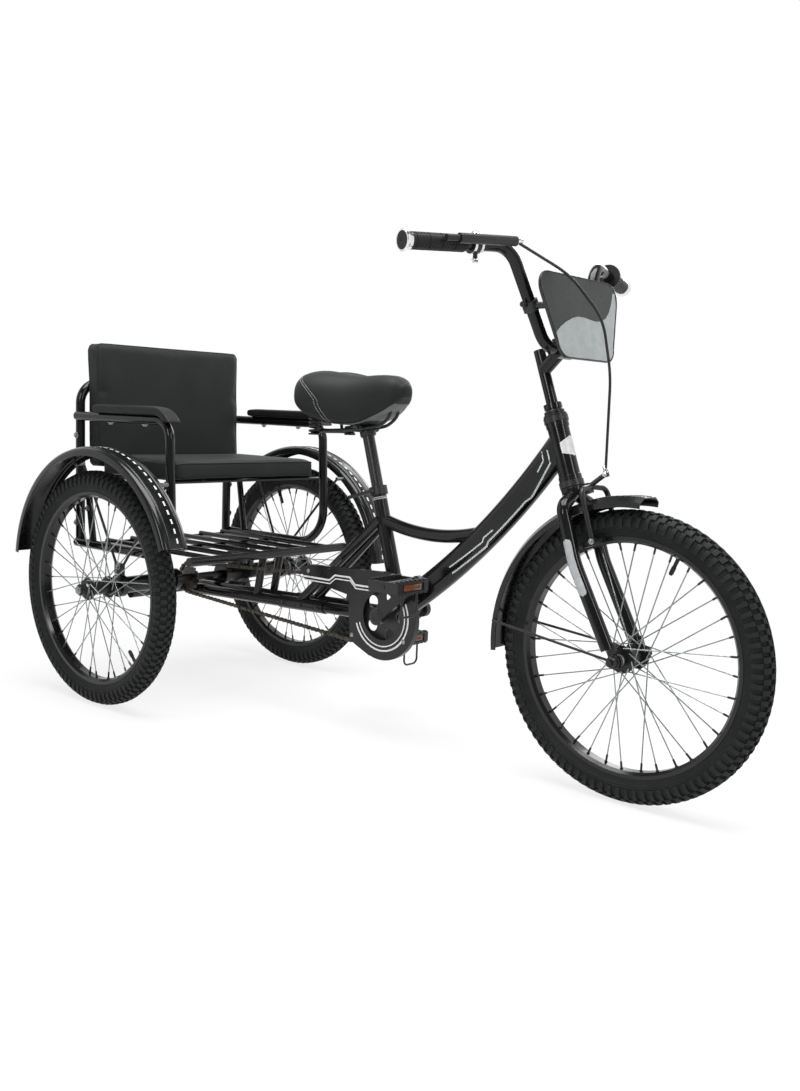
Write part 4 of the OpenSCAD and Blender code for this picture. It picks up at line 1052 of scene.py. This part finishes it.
# Front mudguard stays, axle and nuts: thin black wire stays and a blackened steel axle, clamped in the
# fork ends by hexagon nuts on washers. The mudguard has the rear ones' rolled beads.
dress("front_stays", satin_steel)
dress("front_axle", satin_steel)
front_low, front_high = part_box("front_tyre")
front_hub = (front_low + front_high) / 2
wheel_r = (front_high.z - front_low.z) / 2 * 1000
axle_nuts = Shell()
for s in (-1, 1):
    axle_nuts.turned(front_hub + Vector((0, s * 0.0586, 0)), (0, s, 0), [(0, 10.6), (9, 10.6), (10.2, 9.4)], 6)
    axle_nuts.turned(front_hub + Vector((0, s * 0.0584, 0)), (0, s, 0), [(0, 12.4), (1.6, 12.4)], 28)
add_piece("front_axle_nuts", axle_nuts, satin_steel, "steering")
front_beads = Shell()
for across in (-13, 13):
    front_beads.rings([[front_hub + Vector(((288 + h) * cos(a), across + w, (288 + h) * sin(a))) / 1000
                        for w, h in ((-3, -0.3), (-1.6, 0.9), (0, 1.3), (1.6, 0.9), (3, -0.3))]
                       for a in (radians(87 + 98 * k / 50) for k in range(51))])
add_piece("front_guard_beads", front_beads, sheet_paint, "steering", 60)


# Wheels: twenty-inch wire wheels with black-painted rims and hubs, bright spokes in black nipples, and
# block-tread tyres. Each tyre is a plain casing with ninety moulded lugs in each of six rows, the
# outermost of them long and reaching down over the widest part of the sidewall.
def tyre_rubber_finish():
    """Moulded rubber: dull, dusty in the hollows, paler where it has touched the road."""
    material, tree, shader = start_finish("tyre_rubber", 0.26)
    dust = ranged(tree, spotted(tree, 26, 6), 0, 1, 0.38, 0.68)
    shape = tree.nodes.new("ShaderNodeNewGeometry")
    worn = ranged(tree, shape.outputs["Pointiness"], 0, 0.5, 0.52, 0.62)
    dusty = between(tree, dust, (0.0056, 0.0062, 0.0062), (0.0096, 0.0104, 0.0104))
    tree.links.new(between(tree, worn, dusty, (0.02, 0.021, 0.021)), shader.inputs["Base Color"])
    tree.links.new(ranged(tree, spotted(tree, 330, 4), 0.55, 0.75), shader.inputs["Roughness"])
    raised(tree, shader, spotted(tree, 1200, 4), 0.2, 0.0005)
    return material


tyre_rubber = tyre_rubber_finish()
rim_paint = sprayed_paint("rim_paint", (0.0035, 0.0035, 0.0038), (0.02, 0.02, 0.02), (0.13, 0.24), 360, 0.36)
spoke_bright = mottled("spoke_bright", 0.5, 1.0, colour=((70, 5), (0.26, 0.275, 0.28), (0.4, 0.415, 0.42)),
                       rough=((300, 4), 0.22, 0.36), grain=((900, 3), 0.05, 0.0002))
casing_hub, casing_r, lug_count, spoke_count = wheel_r - 27, 22.5, 90, 36
# lug rows: first and last angle round the section, share of the pitch, start in the pitch, height at each end
lug_rows = ((1.5, 20, 0.6, 0.0, 4.4, 4.4), (-20, -1.5, 0.6, 0.5, 4.4, 4.4),
            (23, 51, 0.62, 0.5, 4.3, 4.0), (-51, -23, 0.62, 0.0, 4.0, 4.3),
            (54, 99, 0.56, 0.02, 3.8, 2.0), (-99, -54, 0.56, 0.52, 2.0, 3.8))


def make_wheel(node, body, half, bore, valve):
    """One wheel; node is the pattern of its nodes' names."""
    low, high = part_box(node % "tyre")
    centre = (low + high) / 2

    def spot(turn_at, section, out):
        r = casing_hub + (casing_r + out) * cos(section)
        side = (casing_r + out) * sin(section)
        return centre + Vector((r * cos(turn_at), side, r * sin(turn_at))) / 1000

    tyre = Shell()
    rings = []
    for k in range(144):
        a = 2 * pi * k / 144
        ring = []
        for m in range(49):
            f = -120 + 5 * m
            ridge = 0.8 if abs(abs(f) - 105) < 3 or abs(abs(f) - 115) < 3 else 0
            ring.append(spot(a, radians(f), ridge))
        # beads, down on the rim: from the wheel's middle outward, sideways
        for r, y in ((221.4, 16.4), (216.6, 13.8), (216.6, -13.8), (221.4, -16.4)):
            ring.append(centre + Vector((r * cos(a), y, r * sin(a))) / 1000)
        rings.append(ring)
    tyre.rings(rings, loop=True)
    step = 2 * pi / lug_count
    for f1, f2, share, start, tall1, tall2 in lug_rows:
        parts = max(2, int((f2 - f1) / 9))
        for i in range(lug_count):
            a1, a2 = (i + start) * step, (i + start + share) * step
            trim = (a2 - a1) * 0.1
            sections = []
            for k in range(parts + 1):
                t = k / parts
                end = 0.25 if k in (0, parts) else 1
                f = radians(f1 + (f2 - f1) * t)
                tall = (tall1 + (tall2 - tall1) * t) * (0.86 if k in (0, parts) else 1)
                outline = ((a1, -0.6), (a1 + trim * end, tall * 0.8), (a1 + trim, tall),
                           (a2 - trim, tall), (a2 - trim * end, tall * 0.8), (a2, -0.6))
                sections.append([spot(a, f, out) for a, out in outline])
            tyre.rings(sections)
    tyre_piece = add_piece(node % "tread_tyre", tyre, tyre_rubber, body, 32)
    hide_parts(node % "tyre")
    nipples, stem = Shell(), Shell()
    for i in range(spoke_count):
        a = 2 * pi * i / spoke_count
        lean_way = 1 if i // 2 % 2 == 0 else -1
        y_way = 1 if i % 2 == 0 else -1
        h = a + lean_way * radians(72)
        inner = Vector((21 * cos(h), y_way * (27 + lean_way * 4.5), 21 * sin(h)))
        outer = Vector((204.9 * cos(a), y_way * 3, 204.9 * sin(a)))
        back = (inner - outer).normalized()
        nipples.turned(centre + outer / 1000, back, [(-0.5, 3.1), (1.5, 3.1), (2, 2.1), (13, 2.1), (14, 1.5)], 8)
    add_piece(node % "nipples", nipples, satin_steel, body)
    out = Vector((valve[0], 0, valve[1])).normalized()
    stem.turned(centre + out * 0.2052, -out,
                [(-1, 6), (2, 5), (4, 3.6), (18, 3.4), (19, 4.2), (31, 4.2), (32.5, 3.4), (34, 3.2)], 20)
    add_piece(node % "valve", stem, grip_rubber, body)
    cones = Shell()
    cap_form = [(0, bore + 6.2), (5, bore + 6.2), (7, bore + 5), (9.2, bore + 4.6)]
    for s in (-1, 1):
        cones.turned(centre + Vector((0, s * (half - 9) / 1000, 0)), (0, s, 0), cap_form, 32, caps=False)
    add_piece(node % "dust_caps", cones, zinc, body)
    dress(node % "rim", rim_paint)
    dress(node % "spokes", spoke_bright)
    dress(node % "hub", satin_steel)


# wheels: names of the nodes, body, hub's half width and bore radius, which way the valve points
for wheel_row in (
    ("front_%s", "front_wheel", 46, 5.3, (75, 173.5)),
    ("rear_%s_right", "rear_wheel_right", 38, 9.3, (125.5, -131.9)),
    ("rear_%s_left", "rear_wheel_left", 38, 9, (-60, 170)),
):
    make_wheel(*wheel_row)

# Rear axle: one blackened steel shaft through both housings and hubs, its ends threaded for a zinc nut
# that holds each wheel on.
dress("rear_axle", satin_steel)
rear_nuts = Shell()
for s in (-1, 1):
    rear_nuts.turned(from_axle(0, s * 357.5, 265), (0, s, 0), [(-0.6, 10.4), (4.5, 10.4), (5.6, 9.2)], 6)
    rear_nuts.turned(from_axle(0, s * 362, 265), (0, s, 0), [(0, 5.4), (1.8, 5.4), (2.4, 4.6)], 20)
add_piece("rear_axle_nuts", rear_nuts, zinc, "rear_wheel_left")

# Cranks and chainwheel: forged steel arms on a square axle and a pressed toothed wheel, satin black,
# with a dust plug over each axle bolt.
dress("crank_arms", satin_steel)
dress("chainwheel", satin_steel)
crank_plugs = Shell()
for s in (-1, 1):
    crank_plugs.turned(crank_at + Vector((0, s * 0.0795, 0)), (0, s, 0),
                       [(0, 12.4), (1, 12.2), (1.8, 10), (1.4, 8.4), (1.4, 1)], 32)
add_piece("crank_plugs", crank_plugs, satin_steel, "crank")

# Pedals: moulded black frames with toothed edges and a wire loop, each on its own spindle, with amber
# reflectors of ribbed plastic set in front and behind.
amber = mottled("amber_lens", 0.5, 0.0, colour=((90, 3), (0.075, 0.018, 0.0025), (0.14, 0.038, 0.0045)),
                rough=((300, 3), 0.08, 0.18), grain=((420, 1), 0.3, 0.0006))
crank_run = Vector((cos(radians(39.5)), 0, sin(radians(39.5))))
pedal_black = sprayed_paint("pedal_black", (0.008, 0.008, 0.0085), (0.025, 0.025, 0.025), (0.32, 0.46), 600, 0.4)
corners = ((-1, -1), (1, -1), (1, 1), (-1, 1))
for s, body in ((-1, "pedal_right"), (1, "pedal_left")):
    dress(body, pedal_black)
    pedal_at = crank_at + crank_run * (-s * 0.134) + Vector((0, s * (80 + 7 + 46) / 1000, 0))
    lens = Shell()
    for x in (-1, 1):
        lens.rings([[pedal_at + Vector((x * depth, u * half, v * tall)) / 1000 for u, v in corners]
                    for depth, half, tall in ((34.6, 26, 6.4), (36.2, 26, 6.4), (36.9, 25, 5.6))])
        for i in range(-5, 6):
            lens.rings([[pedal_at + Vector((x * d, i * 4.1 + u * w, v * 5 * w / 1.9)) / 1000 for u, v in corners]
                        for d, w in ((36.5, 1.9), (37.6, 0.5))])
    add_piece(body + "_lenses", lens, amber, body)
